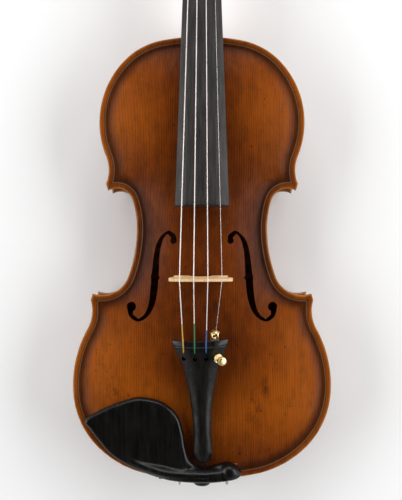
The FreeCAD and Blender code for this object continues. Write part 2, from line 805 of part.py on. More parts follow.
def wrap_reach(s):
    """How far from the middle of the pegbox the turns of string lie, close to the cheek by the peg's head."""
    inner_nut = dim("pegbox_width_nut") / 2 - dim("cheek_nut")
    inner_end = dim("pegbox_width_end") / 2 - dim("cheek_end")
    cheek = inner_nut + (inner_end - inner_nut) * (s + 4.5) / dim("pegbox_length")
    return cheek - WRAP / 2 - 0.3


def add_pegs():
    """Four tapered pegs with flat oval heads, and the turns of string wound on each."""
    for name, sign in PEGS:
        s = dim(f"peg_s_{name}")
        half = (dim("pegbox_width_nut") - (dim("pegbox_width_nut") - dim("pegbox_width_end"))
                * s / dim("pegbox_length")) / 2
        near, far = half + 2.6, half + 1.2
        frame = peg_frame(s, sign).multiply(Placement(Vector(0, 0, -far), Rotation()))
        tip = f"dims.peg_radius - dims.peg_taper * {far:.2f}"
        shoulder = f"{far + near:.2f}"
        body = new_body(f"peg_{name}", frame)
        collar = f"{far + near:.2f} + dims.peg_collar_length"
        stem = f"{collar} + dims.peg_stem_length"
        revolve_in(body, [
            ("0", "0"), (tip, "0"), (f"dims.peg_radius + dims.peg_taper * {near:.2f}", shoulder),
            ("dims.peg_collar_radius", shoulder), ("dims.peg_collar_radius", collar),
            ("dims.peg_stem_radius", collar), ("dims.peg_stem_radius", stem), ("0", stem),
        ])
        add_thumb_head(body, stem)
        tube = Part.makeCylinder(dim("peg_radius") + 0.85, WRAP, Vector(0, 0, wrap_reach(s) - WRAP / 2))
        core_radius, change = dim("peg_radius") + 0.02, dim("peg_taper") * 20
        core = Part.makeCone(core_radius - change, core_radius + change, 40, Vector(0, 0, -20))
        piece(f"winding_{name}", tube.cut(core), peg_frame(s, sign))


def add_thumb_head(body, base):
    """The flat oval that the fingers hold, as a pad either side of the peg's own XZ plane."""
    half, tall = "dims.peg_head_width / 2", "dims.peg_head_length"
    outline = [
        ("dims.peg_stem_radius", f"{base} - 0.8"), (f"{half} - 3", f"{base} + 1.4"), (half, f"{base} + 5"),
        (half, f"{base} + {tall} - 6"), (f"{half} - 3.2", f"{base} + {tall} - 2"), ("3", f"{base} + {tall}"),
        ("-3", f"{base} + {tall}"), (f"3.2 - {half}", f"{base} + {tall} - 2"), (f"-{half}", f"{base} + {tall} - 6"),
        (f"-{half}", f"{base} + 5"), (f"3 - {half}", f"{base} + 1.4"), ("-dims.peg_stem_radius", f"{base} - 0.8"),
    ]
    sketch = sketch_in(body, f"{body.Name}_oval", "XZ_Plane", outline)
    pad = body.newObject("PartDesign::Pad", f"{body.Name}_thumb")
    pad.Profile = (sketch, [""])
    pad.Midplane = True
    pad.setExpression("Length", "dims.peg_head_thickness")
    body.Tip = pad
    sketch.Visibility = False


# ---------------------------------------------------------------- bridge, tailpiece and strings

BRIDGE_SIDE = [(6.5, 62.0), (9.5, 66.0), (13.0, 68.4), (14.6, 70.5), (13.2, 73.8), (15.5, 75.6), (19.6, 74.4),
               (23.6, 76.8), (24.3, 80.5), (22.8, 84.2), (21.0, 88.0)]
BRIDGE_FOOT = [(20.9, 62.6), (20.9, 58.0), (9.0, 58.0)]
HEART = [(0, 76.5), (2.6, 79.0), (4.6, 81.6), (4.4, 84.0), (2.2, 84.8), (0, 83.2)]


def add_bridge(wires):
    """The bridge: two feet shaped to the top, a waist, wings, a heart, and a crowned upper edge with notches."""
    right = [BRIDGE_FOOT[2], BRIDGE_FOOT[1], BRIDGE_FOOT[0]] + BRIDGE_SIDE[2:]
    crown = []
    for step in range(5):
        x = 20.0 - step * 5.0
        crown.append((x, dim("bridge_top_z") - sagitta(x, dim("board_radius"))))
    arch = [(6.0, 63.0), (3.0, 66.6), (0, 67.6)]
    half = right + crown
    loop = half + [(-x, z) for x, z in reversed(half) if x > 0] + [(-x, z) for x, z in arch] + arch[:2][::-1]
    corners = [Vector(x, 0, z) for x, z in loop]
    front = Part.Face(Part.makePolygon(corners + corners[:1]))
    blank = front.extrude(Vector(0, dim("bridge_foot"), 0))
    heart = HEART + [(-x, z) for x, z in reversed(HEART[1:-1])]
    points = [Vector(x, -1, z) for x, z in heart]
    blank = blank.cut(Part.Face(Part.makePolygon(points + points[:1])).extrude(Vector(0, 10, 0)))
    low, high = 57.0, dim("bridge_top_z") + 1
    wedge = side_prism([(0, low), (dim("bridge_foot"), low), (dim("bridge_foot"), low + 8),
                        (dim("bridge_edge") + 0.5, high), (0.5, high)], 40)
    bridge = blank.common(wedge)
    bridge.translate(Vector(dim("bridge_shift"), along(dim("bridge_v")) - dim("bridge_foot") / 2, 0))
    piece("bridge", without(bridge.cut(under_arch(0)), wires))


TAILPIECE_STATIONS = ((0.4, 4.0, 2.0, 1.6), (2.6, 6.6, 2.6, 3.0), (8.9, 7.8, 3.0, 3.4), (24.5, 7.0, 3.2, 3.6),
                      (40.1, 7.6, 3.2, 3.6), (56.7, 9.4, 3.2, 3.8), (68.1, 11.5, 3.2, 4.2), (78.5, 13.7, 3.2, 4.8),
                      (90.0, 18.4, 3.2, 5.2), (95.9, 21.0, 3.0, 5.6), (100.0, 22.4, 2.6, 5.6))
FRET_Y = 95.0


def string_x(index, gap, middle):
    """Where one of the four strings lies across a set that is gap apart."""
    return middle + (index - 1.5) * gap


def tail_surface(x, y):
    """Height of the tailpiece's arched top in its own frame."""
    for first, last in zip(TAILPIECE_STATIONS, TAILPIECE_STATIONS[1:]):
        if first[0] <= y <= last[0]:
            share = (y - first[0]) / (last[0] - first[0])
            half, edge, crown = (a + (b - a) * share for a, b in zip(first[1:], last[1:]))
            radius = (half**2 + crown**2) / (2 * crown)
            return edge + crown - sagitta(x, radius)
    return 0.0


def add_tailpiece(silks):
    """The tailpiece, hollow below, with its string holes, and the fret let into it near the wide end."""
    sections = [crowned(half, edge, crown, y) for y, half, edge, crown in TAILPIECE_STATIONS]
    solid = Part.makeLoft(sections, True, False)
    hollow = [crowned(half - 2.4, 0.8, crown - 0.4, y, -1.0) for y, half, edge, crown in TAILPIECE_STATIONS[6:]]
    hollow.append(crowned(18.8, 0.8, 5.2, 103.0, -1.0))
    solid = solid.cut(Part.makeLoft(hollow, True, False))
    half = 20.6
    rims = [crowned(half, 3.4, 6.3, y, 2.4) for y in (FRET_Y - 0.8, FRET_Y + 0.8)]
    fret = Part.makeLoft(rims, True, True)
    for index in range(4):
        x = string_x(index, dim("tail_hole_gap"), 0)
        radius = dim("tuner_tube_radius") + 0.05 if index == 3 else 1.7
        lean = Vector(math.sin(math.radians(TUNER_LEAN)), 0, math.cos(math.radians(TUNER_LEAN)))
        axis = lean if index == 3 else Vector(0, 0, 1)
        start = Vector(x, HOLE_Y, tail_surface(x, HOLE_Y))
        solid = solid.cut(Part.makeCylinder(radius, 40, start - axis * 20, axis))
    fret = fret.cut(solid).common(Part.makeBox(80, 20, 40, Vector(-40, FRET_Y - 10, 3.4)))
    piece("tailpiece_fret", without(placed(fret, TAIL), silks))
    piece("tailpiece", without(placed(solid, TAIL), silks))


HOLE_Y = 86.0
TUNER_LEAN = 19.0


def nut_point(index):
    """Where a string's middle crosses the nut."""
    x = string_x(index, dim("string_gap_nut"), 0)
    top = dim("board_edge") + dim("nut_rise") + sagitta(dim("board_width_nut") / 2, dim("board_radius"))
    return NECK.multVec(Vector(x, dim("nut_depth") / 2, top - sagitta(x, dim("board_radius")) + 0.1))


def bridge_point(index):
    """Where a string's middle crosses the bridge."""
    x = string_x(index, dim("string_gap_bridge"), 0)
    z = dim("bridge_top_z") - sagitta(x, dim("board_radius")) + 0.1
    return Vector(x + dim("bridge_shift"), along(dim("bridge_v")), z)


def fret_point(index):
    """Where a string's middle crosses the tailpiece's fret."""
    x = string_x(index, dim("tail_hole_gap"), 0)
    return TAIL.multVec(Vector(x, FRET_Y, tail_surface(x, FRET_Y) + 1.6))


def hole_point(index, drop):
    """A place in a string's hole in the tailpiece, below its arched top."""
    x = string_x(index, dim("tail_hole_gap"), 0)
    return TAIL.multVec(Vector(x, HOLE_Y, tail_surface(x, HOLE_Y) - drop))


STRINGS = ("g", "d", "a", "e")


def string_solid(index):
    """One string from its peg over the nut and the bridge, as far as its silk or the tuner's hook."""
    name = STRINGS[index]
    radius = dim(f"string_d_{name}") / 2
    s = dim(f"peg_s_{name}")
    lift = dim("peg_axis_t") + dim("peg_radius") + 0.85 + 0.3 + radius
    wound = HEAD.multVec(Vector(dict(PEGS)[name] * wrap_reach(s), s - 1.0, lift))
    bridge = bridge_point(index)
    if name == "e":
        end = HOOK_POINT + (bridge - HOOK_POINT).normalize() * 1.7
    else:
        end = silk_start(index)
    return bent_rod([wound, nut_point(index), bridge, end], radius)


def silk_start(index):
    """Where the silk wrapping of a string begins, between the bridge and the tailpiece."""
    bridge = bridge_point(index)
    return bridge + (fret_point(index) - bridge) * 0.635


def silk_solid(index):
    """The silk-wrapped end of a string, over the fret and down through the tailpiece."""
    radius = dim(f"string_d_{STRINGS[index]}") / 2 + 0.12
    points = [silk_start(index), fret_point(index), hole_point(index, 0.4), hole_point(index, 5.0)]
    return bent_rod(points, radius)


def add_strings(wires, silks):
    """Four strings, the silk at the tail ends of three, and the balls that they end in."""
    for name, wire in zip(STRINGS, wires):
        piece(f"string_{name}", wire)
    balls = []
    for index, silk in enumerate(silks):
        piece(f"silk_{STRINGS[index]}", silk)
        balls.append(Part.makeSphere(1.6, hole_point(index, 5.0)).cut(silk))
    piece("string_ball_ends", Part.makeCompound(balls))
    piece("string_e_ball", Part.makeSphere(1.35, HOOK_POINT))


# ---------------------------------------------------------------- fine tuner

TUNER_X = 1.5 * dim("tail_hole_gap")
TUNER = TAIL.multiply(Placement(
    Vector(TUNER_X, HOLE_Y, tail_surface(TUNER_X, HOLE_Y)),
    Rotation(Vector(0, 1, 0), TUNER_LEAN),
))
PIVOT_Y = 17.6
PIVOT_Z = -6.4
HOOK_POINT = TUNER.multVec(Vector(-1.5, PIVOT_Y + 2.6, 1.6))


def add_tuner():
    """The E string's adjuster: body and ring nut held to the tailpiece, screw, and tilting lever."""
    tube = Part.makeCylinder(dim("tuner_tube_radius"), 10.0, Vector(0, 0, -7.4))
    bar = Part.makeBox(6.0, PIVOT_Y - 2.4, 1.6, Vector(-3.0, 0, -7.4))
    cheeks = [Part.makeBox(1.2, 5.8, 3.4, Vector(x, PIVOT_Y - 4.0, PIVOT_Z - 1.7)) for x in (-3.0, 1.8)]
    bore = Part.makeCylinder(1.45, 20, Vector(0, 0, -12))
    pin_hole = Part.makeCylinder(0.7, 10, Vector(-5, PIVOT_Y, PIVOT_Z), Vector(1, 0, 0))
    piece("tuner_body", tube.multiFuse([bar] + cheeks).cut(bore).cut(pin_hole), TUNER)
    arm = Part.makeBox(3.0, PIVOT_Y + 0.6, 1.3, Vector(-1.5, -1.8, -10.4))
    riser = Part.makeBox(3.0, 3.2, 3.4, Vector(-1.5, PIVOT_Y - 1.4, -10.4))
    knuckle = Part.makeCylinder(1.7, 3.0, Vector(-1.5, PIVOT_Y, PIVOT_Z), Vector(1, 0, 0))
    horn = side_prism([(PIVOT_Y + 0.2, PIVOT_Z - 1.5), (PIVOT_Y + 3.4, PIVOT_Z), (PIVOT_Y + 3.8, 0.0),
                       (PIVOT_Y + 2.2, 0.0), (PIVOT_Y + 1.6, PIVOT_Z + 2.2)], 1.5)
    forks = [Part.makeBox(1.0, 2.0, 3.0, Vector(x, PIVOT_Y + 2.2, -0.2)) for x in (-4.0, 0.4)]
    yoke = Part.makeBox(5.4, 1.6, 1.0, Vector(-4.0, PIVOT_Y + 2.2, -0.95))
    lever = arm.multiFuse([riser, knuckle, horn, yoke] + forks)
    pivot_bore = Part.makeCylinder(0.75, 10, Vector(-5, PIVOT_Y, PIVOT_Z), Vector(1, 0, 0))
    piece("tuner_lever", lever.cut(pivot_bore), TUNER)
    pin = doc.addObject("Part::Cylinder", "tuner_pivot_pin")
    pin.Label = "tuner_pivot_pin"
    pin.setExpression("Radius", "dims.tuner_pin_radius")
    pin.setExpression("Height", "dims.tuner_pin_length")
    pin.Placement = TUNER.multiply(Placement(Vector(-3.1, PIVOT_Y, PIVOT_Z), Rotation(Vector(0, 1, 0), 90)))
    pieces.append(pin)
    lathe("tuner_ring_nut", TUNER.multiply(Placement(Vector(0, 0, 0.85), Rotation())), [
        ("dims.tuner_tube_radius", "0"), ("dims.tuner_ring_radius", "0"),
        ("dims.tuner_ring_radius", "dims.tuner_ring_height"), ("dims.tuner_tube_radius", "dims.tuner_ring_height"),
    ])
    lathe("tuner_screw", TUNER.multiply(Placement(Vector(0, 0, -8.8), Rotation())), [
        ("0", "0"), ("0.9", "0"), ("dims.tuner_screw_radius", "0.6"),
        ("dims.tuner_screw_radius", "dims.tuner_screw_length"), ("0", "dims.tuner_screw_length"),
    ])
    lathe("tuner_knob", TUNER.multiply(Placement(Vector(0, 0, 7.2), Rotation())), [
        ("dims.tuner_screw_radius + 0.05", "0"), ("2.4", "0"), ("dims.tuner_knob_radius", "0.8"),
        ("dims.tuner_knob_radius", "3.8"), ("2.6", "4.6"), ("0", "4.6"), ("0", "2.05"),
        ("dims.tuner_screw_radius + 0.05", "2.05"),
    ])


# ---------------------------------------------------------------- tail gut and end button


def tail_gut():
    """The loop of gut from under the tailpiece, over the saddle and round the end button."""
    radius = dim("tailgut_radius")
    saddle_top = TOP_JOINT_Z + dim("saddle_height")
    half = [
        TAIL.multVec(Vector(3.0, 12.0, GUT_DROP)) - Vector(dim("tailpiece_shift"), 0, 0),
        TAIL.multVec(Vector(3.0, 7.0, GUT_DROP)) - Vector(dim("tailpiece_shift"), 0, 0),
        Vector(4.2, along(4.0), saddle_top + radius + 0.3),
        Vector(4.6, along(1.0), saddle_top + radius - 0.1),
        Vector(5.1, along(-1.2), saddle_top - 3.4),
        Vector(5.6, along(-1.3), TOP_JOINT_Z - 1.0),
        Vector(5.8, along(-0.9), MIRROR_Z + 7.0),
    ]
    loop = GROOVE_RADIUS + radius + 0.2
    for step in (0, 30, 60):
        angle = math.radians(step)
        half.append(Vector(loop * math.cos(angle), along(-0.6), MIRROR_Z - loop * math.sin(angle)))
    other = [Vector(-p.x, p.y, p.z) for p in reversed(half)]
    below = Vector(0, along(-0.6), MIRROR_Z - loop)
    path = Part.BSplineCurve()
    path.interpolate(half + [below] + other)
    start = path.value(path.FirstParameter)
    ring = Part.Wire(Part.Circle(start, path.tangent(path.FirstParameter)[0], radius).toShape())
    return Part.Wire(path.toShape()).makePipeShell([ring], True, True)


GUT_DROP = -1.7
GROOVE_RADIUS = 4.6


def add_tail_end(gut):
    """The end button in its block, the tail gut that loops round it, and the nuts on the gut's ends."""
    frame = Placement(Vector(0, along(17.0), MIRROR_Z), Rotation(Vector(1, 0, 0), 90))
    rim = f"{17.0 - dim('edge_overhang'):.2f}"
    groove = str(GROOVE_RADIUS)
    lathe("end_button", frame, [
        ("0", "0"), ("dims.endbutton_shaft - 0.35", "0"), ("dims.endbutton_shaft", rim),
        ("dims.endbutton_radius - 0.7", rim), ("dims.endbutton_radius - 0.5", f"{rim} + 1.2"),
        (groove, f"{rim} + 2.0"), (groove, f"{rim} + 4.6"), ("dims.endbutton_radius - 0.6", f"{rim} + 5.4"),
        ("dims.endbutton_radius", f"{rim} + 8.4"), ("dims.endbutton_radius - 0.9", f"{rim} + 11.4"),
        ("4", f"{rim} + dims.endbutton_reach"), ("0", f"{rim} + dims.endbutton_reach"),
    ])
    piece("tail_gut", gut)
    nuts = []
    for sign in (-1, 1):
        nut = Part.makeCylinder(1.55, 4.0, Vector(sign * 3.0, 8.0, GUT_DROP), Vector(0, 1, 0))
        nut.translate(Vector(-dim("tailpiece_shift"), 0, 0))
        nuts.append(placed(nut, TAIL).cut(gut))
    piece("tail_gut_nuts", Part.makeCompound(nuts))


# ---------------------------------------------------------------- chin rest and its clamp

REST_OUTLINE = [(-91.4, 51.3), (-76.5, 60.2), (-57.8, 67.0), (-46.9, 68.5), (-31.1, 64.7), (-19.2, 54.3),
                (-14.7, 41.0), (-12.9, 30.0), (-10.0, 20.5), (-4.0, 15.0), (4.0, 13.6), (13.5, 16.4),
                (21.0, 17.6), (28.0, 14.2), (31.0, 9.6), (27.0, 5.6), (13.5, 3.2), (0.7, 2.6), (-11.2, 3.0),
                (-25.1, 4.4), (-39.0, 7.8), (-50.9, 12.3), (-62.7, 18.2), (-72.6, 25.1), (-80.5, 34.0),
                (-87.5, 43.5)]


REST_FOOT_Z = dim("rest_foot_z")
REST_CLEARANCE = 2.0
REST_FEET = ((-34.0, -17.6), (17.6, 28.0))
CLAMP_XS = (1 - dim("clamp_x"), 1 + dim("clamp_x"))
LUG_Z = 55.0
POST_REACH_V = 8.0
POST_BEND_Z = 56.6


def clamp_post(x):
    """One of the clamp's upper posts: a rod that bends in over the edge of the top and into the rest's lug."""
    y = along(dim("clamp_v"))
    path = [
        Vector(x, along(POST_REACH_V), POST_BEND_Z), Vector(x, y + 1.6, POST_BEND_Z),
        Vector(x, y, POST_BEND_Z - 1.6), Vector(x, y, MIRROR_Z + 2.0),
    ]
    return bent_rod(path, dim("clamp_rod_radius"))


def rest_face(points, z):
    """A smooth closed outline, given across and from the tail, as a face at a height."""
    curve = Part.BSplineCurve()
    curve.interpolate([Vector(x, along(v), z) for x, v in points], True)
    return Part.Face(Part.Wire(curve.toShape()))


def add_chin_rest():
    """The chin rest: a hollowed cup beside the tailpiece, and an arm over the tail gut with two feet."""
    low, rim = 59.0, dim("rest_rim_z")
    block = rest_face(REST_OUTLINE, low).extrude(Vector(0, 0, rim - low))
    scoop = Part.makeSphere(1.0, Vector(0, 0, 0))
    stretch = FreeCAD.Matrix()
    stretch.scale(Vector(62.0, 46.0, 16.0))
    scoop = scoop.transformGeometry(stretch)
    scoop.rotate(Vector(0, 0, 0), Vector(0, 0, 1), -24)
    scoop.translate(Vector(-46.0, along(47.0), dim("rest_floor_z") + 16.0))
    arm_step = Part.makeBox(60, 60, 20, Vector(-13.0, along(7.5), 66.0))
    block = block.cut(scoop).cut(arm_step).cut(under_arch(-REST_CLEARANCE))
    feet = []
    for start, end in REST_FEET:
        feet.append(Part.makeBox(end - start, 9.0, low - REST_FOOT_Z + 1, Vector(start, along(4.5), REST_FOOT_Z)))
    for x in CLAMP_XS:
        feet.append(Part.makeBox(6.0, 8.0, low - LUG_Z + 1, Vector(x - 3.0, along(2.8), LUG_Z)))
    rest = without(block.multiFuse(feet), [clamp_post(x) for x in CLAMP_XS])
    piece("chinrest", rest.removeSplitter())
    corks = []
    for start, end in REST_FEET:
        pad = Part.makeBox(end - start, 9.0, 12.0, Vector(start, along(4.5), REST_FOOT_Z - 12.0))
        corks.append(pad.cut(under_arch(0)))
    piece("chinrest_corks", Part.makeCompound(corks))


BARREL_LOW = MIRROR_Z - dim("clamp_barrel_length") / 2


def add_clamp():
    """Two upper posts, two barrels that draw them together, and the foot that holds the back's edge."""
    radius, y = dim("clamp_rod_radius"), along(dim("clamp_v"))
    posts, lower = [], []
    for x, side in zip(CLAMP_XS, ("bass", "treble")):
        posts.append(clamp_post(x))
        lower.append(rod(Vector(x, y, 8.6), Vector(x, y, MIRROR_Z - 2.0), radius))
        bore = "dims.clamp_rod_radius + dims.clamp_clearance"
        lathe(f"clamp_barrel_{side}", Placement(Vector(x, y, BARREL_LOW), Rotation()), [
            (bore, "0"), ("dims.clamp_barrel_radius - 0.5", "0"), ("dims.clamp_barrel_radius", "0.6"),
            ("dims.clamp_barrel_radius", "dims.clamp_barrel_length - 0.6"),
            ("dims.clamp_barrel_radius - 0.5", "dims.clamp_barrel_length"), (bore, "dims.clamp_barrel_length"),
        ])
    piece("clamp_posts", Part.makeCompound(posts))
    left, right = CLAMP_XS[0] - 3.5, CLAMP_XS[1] + 3.5
    plate = Part.makeBox(right - left, 11.0, 1.8, Vector(left, along(-4.0), 7.2))
    piece("clamp_foot", plate.multiFuse(lower).removeSplitter())
    cork = Part.makeBox(right - left - 4, 5.4, 8.0, Vector(left + 2, along(0.6), 9.0))
    piece("clamp_foot_cork", cork.cut(to_back(under_arch(0))))


# ---------------------------------------------------------------- build, check and export

add_plates()
add_ribs()
add_blocks_and_linings()
add_bar_and_post()
add_neck()
add_head()
string_wires = [string_solid(index) for index in range(4)]
string_silks = [silk_solid(index) for index in range(3)]
gut_loop = tail_gut()
add_fingerboard_nut_saddle(string_wires, gut_loop)
add_pegs()
add_bridge(string_wires)
add_tailpiece(string_silks)
add_strings(string_wires, string_silks)
add_tuner()
add_tail_end(gut_loop)
add_chin_rest()
add_clamp()
doc.recompute()

for member in doc.Objects:
    if "Invalid" in member.State or "Error" in member.State:
        raise RuntimeError(f"{member.Label} did not build")

os.makedirs("parts", exist_ok=True)
for made in pieces:
    if made.Shape.isNull() or not made.Shape.isValid():
        raise RuntimeError(f"{made.Label} is not a sound shape")
    made.Shape.exportStep(os.path.join("parts", f"{made.Label}.step"))
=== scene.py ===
import math

import bmesh
import bpy
import numpy as np
from mathutils import Matrix
from mathutils.geometry import delaunay_2d_cdt


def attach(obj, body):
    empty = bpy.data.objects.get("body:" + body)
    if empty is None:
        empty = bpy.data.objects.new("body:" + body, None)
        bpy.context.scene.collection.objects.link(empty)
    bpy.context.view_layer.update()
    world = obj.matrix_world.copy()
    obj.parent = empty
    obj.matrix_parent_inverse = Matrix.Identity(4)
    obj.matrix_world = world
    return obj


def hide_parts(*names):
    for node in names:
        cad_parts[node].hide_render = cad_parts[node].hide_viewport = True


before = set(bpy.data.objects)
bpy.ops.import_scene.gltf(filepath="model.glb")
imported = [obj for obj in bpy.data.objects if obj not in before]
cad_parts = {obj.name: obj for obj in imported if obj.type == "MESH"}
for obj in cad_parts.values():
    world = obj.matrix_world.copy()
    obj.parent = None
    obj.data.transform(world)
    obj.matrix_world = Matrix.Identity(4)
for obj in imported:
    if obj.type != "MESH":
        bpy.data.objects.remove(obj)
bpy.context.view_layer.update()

# ---------------------------------------------------------------- camera, table and lights
# The violin lies on its back on a pale table. The camera looks straight down on the belly from
# 0.7 m. Two long soft lights lie either side, so that the black wood shows a grey bar along each flank,
# and a third stands beyond the scroll. The room is bright at the sides and dark overhead.

MM = 0.001

camera = bpy.data.objects.new("camera", bpy.data.cameras.new("camera"))
bpy.context.collection.objects.link(camera)
camera.location = (-0.0008, -0.1071, 0.7000)
camera.data.lens = 58.3
camera.data.sensor_width = 36.0
camera.data.clip_start = 0.01
bpy.context.scene.camera = camera

table = bpy.data.meshes.new("table_top")
table.from_pydata([(-4, -4, 0), (4, -4, 0), (4, 4, 0), (-4, 4, 0)], [], [(0, 1, 2, 3)])
table_top = bpy.data.objects.new("table_top", table)
bpy.context.collection.objects.link(table_top)
table_paint = bpy.data.materials.new("table_paint")
table_paint.use_nodes = True
table_shader = table_paint.node_tree.nodes["Principled BSDF"]
table_shader.inputs["Base Color"].default_value = (0.95, 0.95, 0.95, 1)
table_shader.inputs["Roughness"].default_value = 0.9
table_shader.inputs["Specular IOR Level"].default_value = 0.1
table.materials.append(table_paint)


def soft_light(name, place, aim, width, height, power):
    """A rectangular area light at a place, turned to face another."""
    lamp = bpy.data.lights.new(name, "AREA")
    lamp.shape = "RECTANGLE"
    lamp.size, lamp.size_y, lamp.energy = width, height, power
    holder = bpy.data.objects.new(name, lamp)
    bpy.context.collection.objects.link(holder)
    holder.location = place
    facing = np.subtract(place, aim)
    holder.rotation_euler = (
        math.atan2(math.hypot(facing[0], facing[1]), facing[2]),
        0,
        math.atan2(facing[1], facing[0]) + math.pi / 2,
    )
    return holder


soft_light("left_window", (-1.25, 0.0, 0.85), (0, -0.05, 0.05), 1.8, 0.9, 17.0)
soft_light("right_window", (1.25, 0.0, 0.85), (0, -0.05, 0.05), 1.8, 0.9, 19.5)
soft_light("far_window", (0.0, 1.45, 1.0), (0, -0.1, 0.0), 1.8, 0.8, 12.5)

room = bpy.data.worlds.new("room")
bpy.context.scene.world = room
room.use_nodes = True
room_tree = room.node_tree
height = room_tree.nodes.new("ShaderNodeSeparateXYZ")
room_tree.links.new(room_tree.nodes.new("ShaderNodeTexCoord").outputs["Generated"], height.inputs[0])
ceiling = room_tree.nodes.new("ShaderNodeMapRange")
ceiling.interpolation_type = "SMOOTHSTEP"
for socket, value in ((1, 0.45), (2, 0.85), (3, 0.48), (4, 0.02)):
    ceiling.inputs[socket].default_value = value
room_tree.links.new(height.outputs[2], ceiling.inputs[0])
room_tree.nodes["Background"].inputs["Color"].default_value = (1.0, 1.0, 1.0, 1)
room_tree.links.new(ceiling.outputs[0], room_tree.nodes["Background"].inputs["Strength"])
bpy.context.scene.view_settings.view_transform = "Standard"

# ---------------------------------------------------------------- belly and back
# Two arched plates, spruce for the belly and maple for the back, each carved with a fluted channel
# inside its rounded edge. The belly has two f-shaped sound holes.

TAIL_Y = -291.6
BODY_LENGTH = 356.3
BACK_JOINT_Z = 15.0
BELLY_JOINT_Z = 46.0
EDGE_THICKNESS = 4.0
BELLY_EDGE_Z = BELLY_JOINT_Z + EDGE_THICKNESS
MIRROR_Z = (BACK_JOINT_Z + BELLY_JOINT_Z) / 2
ARCH_RISE = 11.0
PLATE_THICKNESS = 3.0

UPPER_BOUT = ((170.5, -10.9), (57.7, -36.5), (71.1, -31.1), (72.2, -33.7), (29.3, 44.7))
WAIST = ((15.0, 29.1), (13.3, 70.0), (73.6, 18.9), (115.6, 19.0), (22.8, 62.2), (22.7, 27.0))
LOWER_BOUT = ((222.2, 11.0), (80.6, 33.1), (68.0, 41.7), (93.2, 33.2), (30.1, -45.2))


def arc_chain(x, v, heading, arcs, step=1.2):
    """Points along arcs that follow each other tangentially, each a radius and a signed turn in degrees.

    A point at angle t round an arc's centre is centre + radius * (sin t, -cos t), on the side it turns to.
    """
    points = [np.array([[x, v]])]
    angle = math.radians(heading)
    place = np.array([x, v], float)
    for radius, turn in arcs:
        side = math.copysign(1.0, turn)
        centre = place + side * radius * np.array([-math.sin(angle), math.cos(angle)])
        count = max(3, int(radius * math.radians(abs(turn)) / step) + 1)
        angles = angle + np.linspace(0, math.radians(turn), count)[1:]
        run = centre + side * radius * np.stack([np.sin(angles), -np.cos(angles)], axis=1)
        points.append(run)
        place, angle = run[-1], angles[-1]
    return np.concatenate(points)


def body_outline():
    """The closed outline as an array of (x, y), anticlockwise from the tail end."""
    upper = arc_chain(0, BODY_LENGTH, 0, UPPER_BOUT)
    waist = arc_chain(75.6, 232.3, 152.8, WAIST)
    lower = arc_chain(0, 0, 0, LOWER_BOUT)
    ends = []
    for first, last in ((lower[-1], waist[-1]), (waist[0], upper[-1])):
        ends.append(first + np.linspace(0, 1, 6)[1:-1, None] * (last - first))
    half = np.concatenate([lower, ends[0], waist[::-1], ends[1], upper[::-1]])
    mirrored = half[1:-1][::-1] * (-1, 1)
    return np.concatenate([half, mirrored]) + (0, TAIL_Y)


OUTLINE = body_outline()


def outward(points):
    """Unit normals that point out of a closed anticlockwise outline, from each point's two neighbours."""
    before, after = np.roll(points, 1, axis=0), np.roll(points, -1, axis=0)
    first = (points - before) / np.linalg.norm(points - before, axis=1)[:, None]
    last = (after - points) / np.linalg.norm(after - points, axis=1)[:, None]
    way = first + last
    way /= np.linalg.norm(way, axis=1)[:, None]
    stretch = 1 / np.clip((way * last).sum(axis=1), 0.5, 1.0)
    return np.stack([way[:, 1], -way[:, 0]], axis=1) * stretch[:, None]


def nearest(points, line):
    """Distance from each point to a closed polyline: the least over its segments."""
    start, end = line, np.roll(line, -1, axis=0)
    way = end - start
    length2 = (way**2).sum(axis=1)
    best = np.empty(len(points))
    for low in range(0, len(points), 2000):
        part = points[low:low + 2000, None, :] - start
        share = np.clip((part * way).sum(axis=2) / length2, 0, 1)
        away = part - share[:, :, None] * way
        best[low:low + 2000] = np.sqrt((away**2).sum(axis=2).min(axis=1))
    return best


def inside(points, line):
    """Whether each point is inside a closed polyline, by the parity of the sides a ray crosses."""
    start, end = line, np.roll(line, -1, axis=0)
    x, y = points[:, :1], points[:, 1:]
    spans = (start[:, 1] > y) != (end[:, 1] > y)
    drop = np.where(end[:, 1] == start[:, 1], 1e-9, end[:, 1] - start[:, 1])
    reach = start[:, 0] + (y - start[:, 1]) / drop * (end[:, 0] - start[:, 0])
    return (spans & (x < reach)).sum(axis=1) % 2 == 1


def depth(points):
    """Smoothed distance inside the outline: the root of two over the sum, along the edge, of distance^-3."""
    line = OUTLINE[::2]
    start, end = line, np.roll(line, -1, axis=0)
    way = end - start
    length = np.linalg.norm(way, axis=1)
    unit = way / length[:, None]
    total = np.empty(len(points))
    for low in range(0, len(points), 2000):
        part = start - points[low:low + 2000, None, :]
        first = (part * unit).sum(axis=2)
        last = first + length
        height2 = np.maximum((part[:, :, 0] * unit[:, 1] - part[:, :, 1] * unit[:, 0]) ** 2, 1e-6)
        run = last / np.sqrt(last**2 + height2) - first / np.sqrt(first**2 + height2)
        total[low:low + 2000] = (run / height2).sum(axis=1)
    return np.sqrt(2 / total)


middle_y = np.linspace(TAIL_Y + 1, TAIL_Y + BODY_LENGTH - 1, 180)
middle_depth = depth(np.stack([np.zeros(180), middle_y], axis=1))


def swell(points, place_depth):
    """The arch without its scale: an S-shaped rise from the edge to the middle line, lower at the ends."""
    across = np.interp(points[:, 1], middle_y, middle_depth)
    reach = (across + 45 + np.hypot(across - 45, 8)) / 2
    share = np.clip((place_depth - 6) / (reach - 6), 0, 1)
    half = BODY_LENGTH / 2
    along = 1 - 0.22 * ((points[:, 1] - TAIL_Y - half) / half) ** 2
    return (1 - (1 - share**1.4) ** 2.2) * along


tallest = swell(np.stack([np.zeros(180), middle_y], axis=1), middle_depth).max()


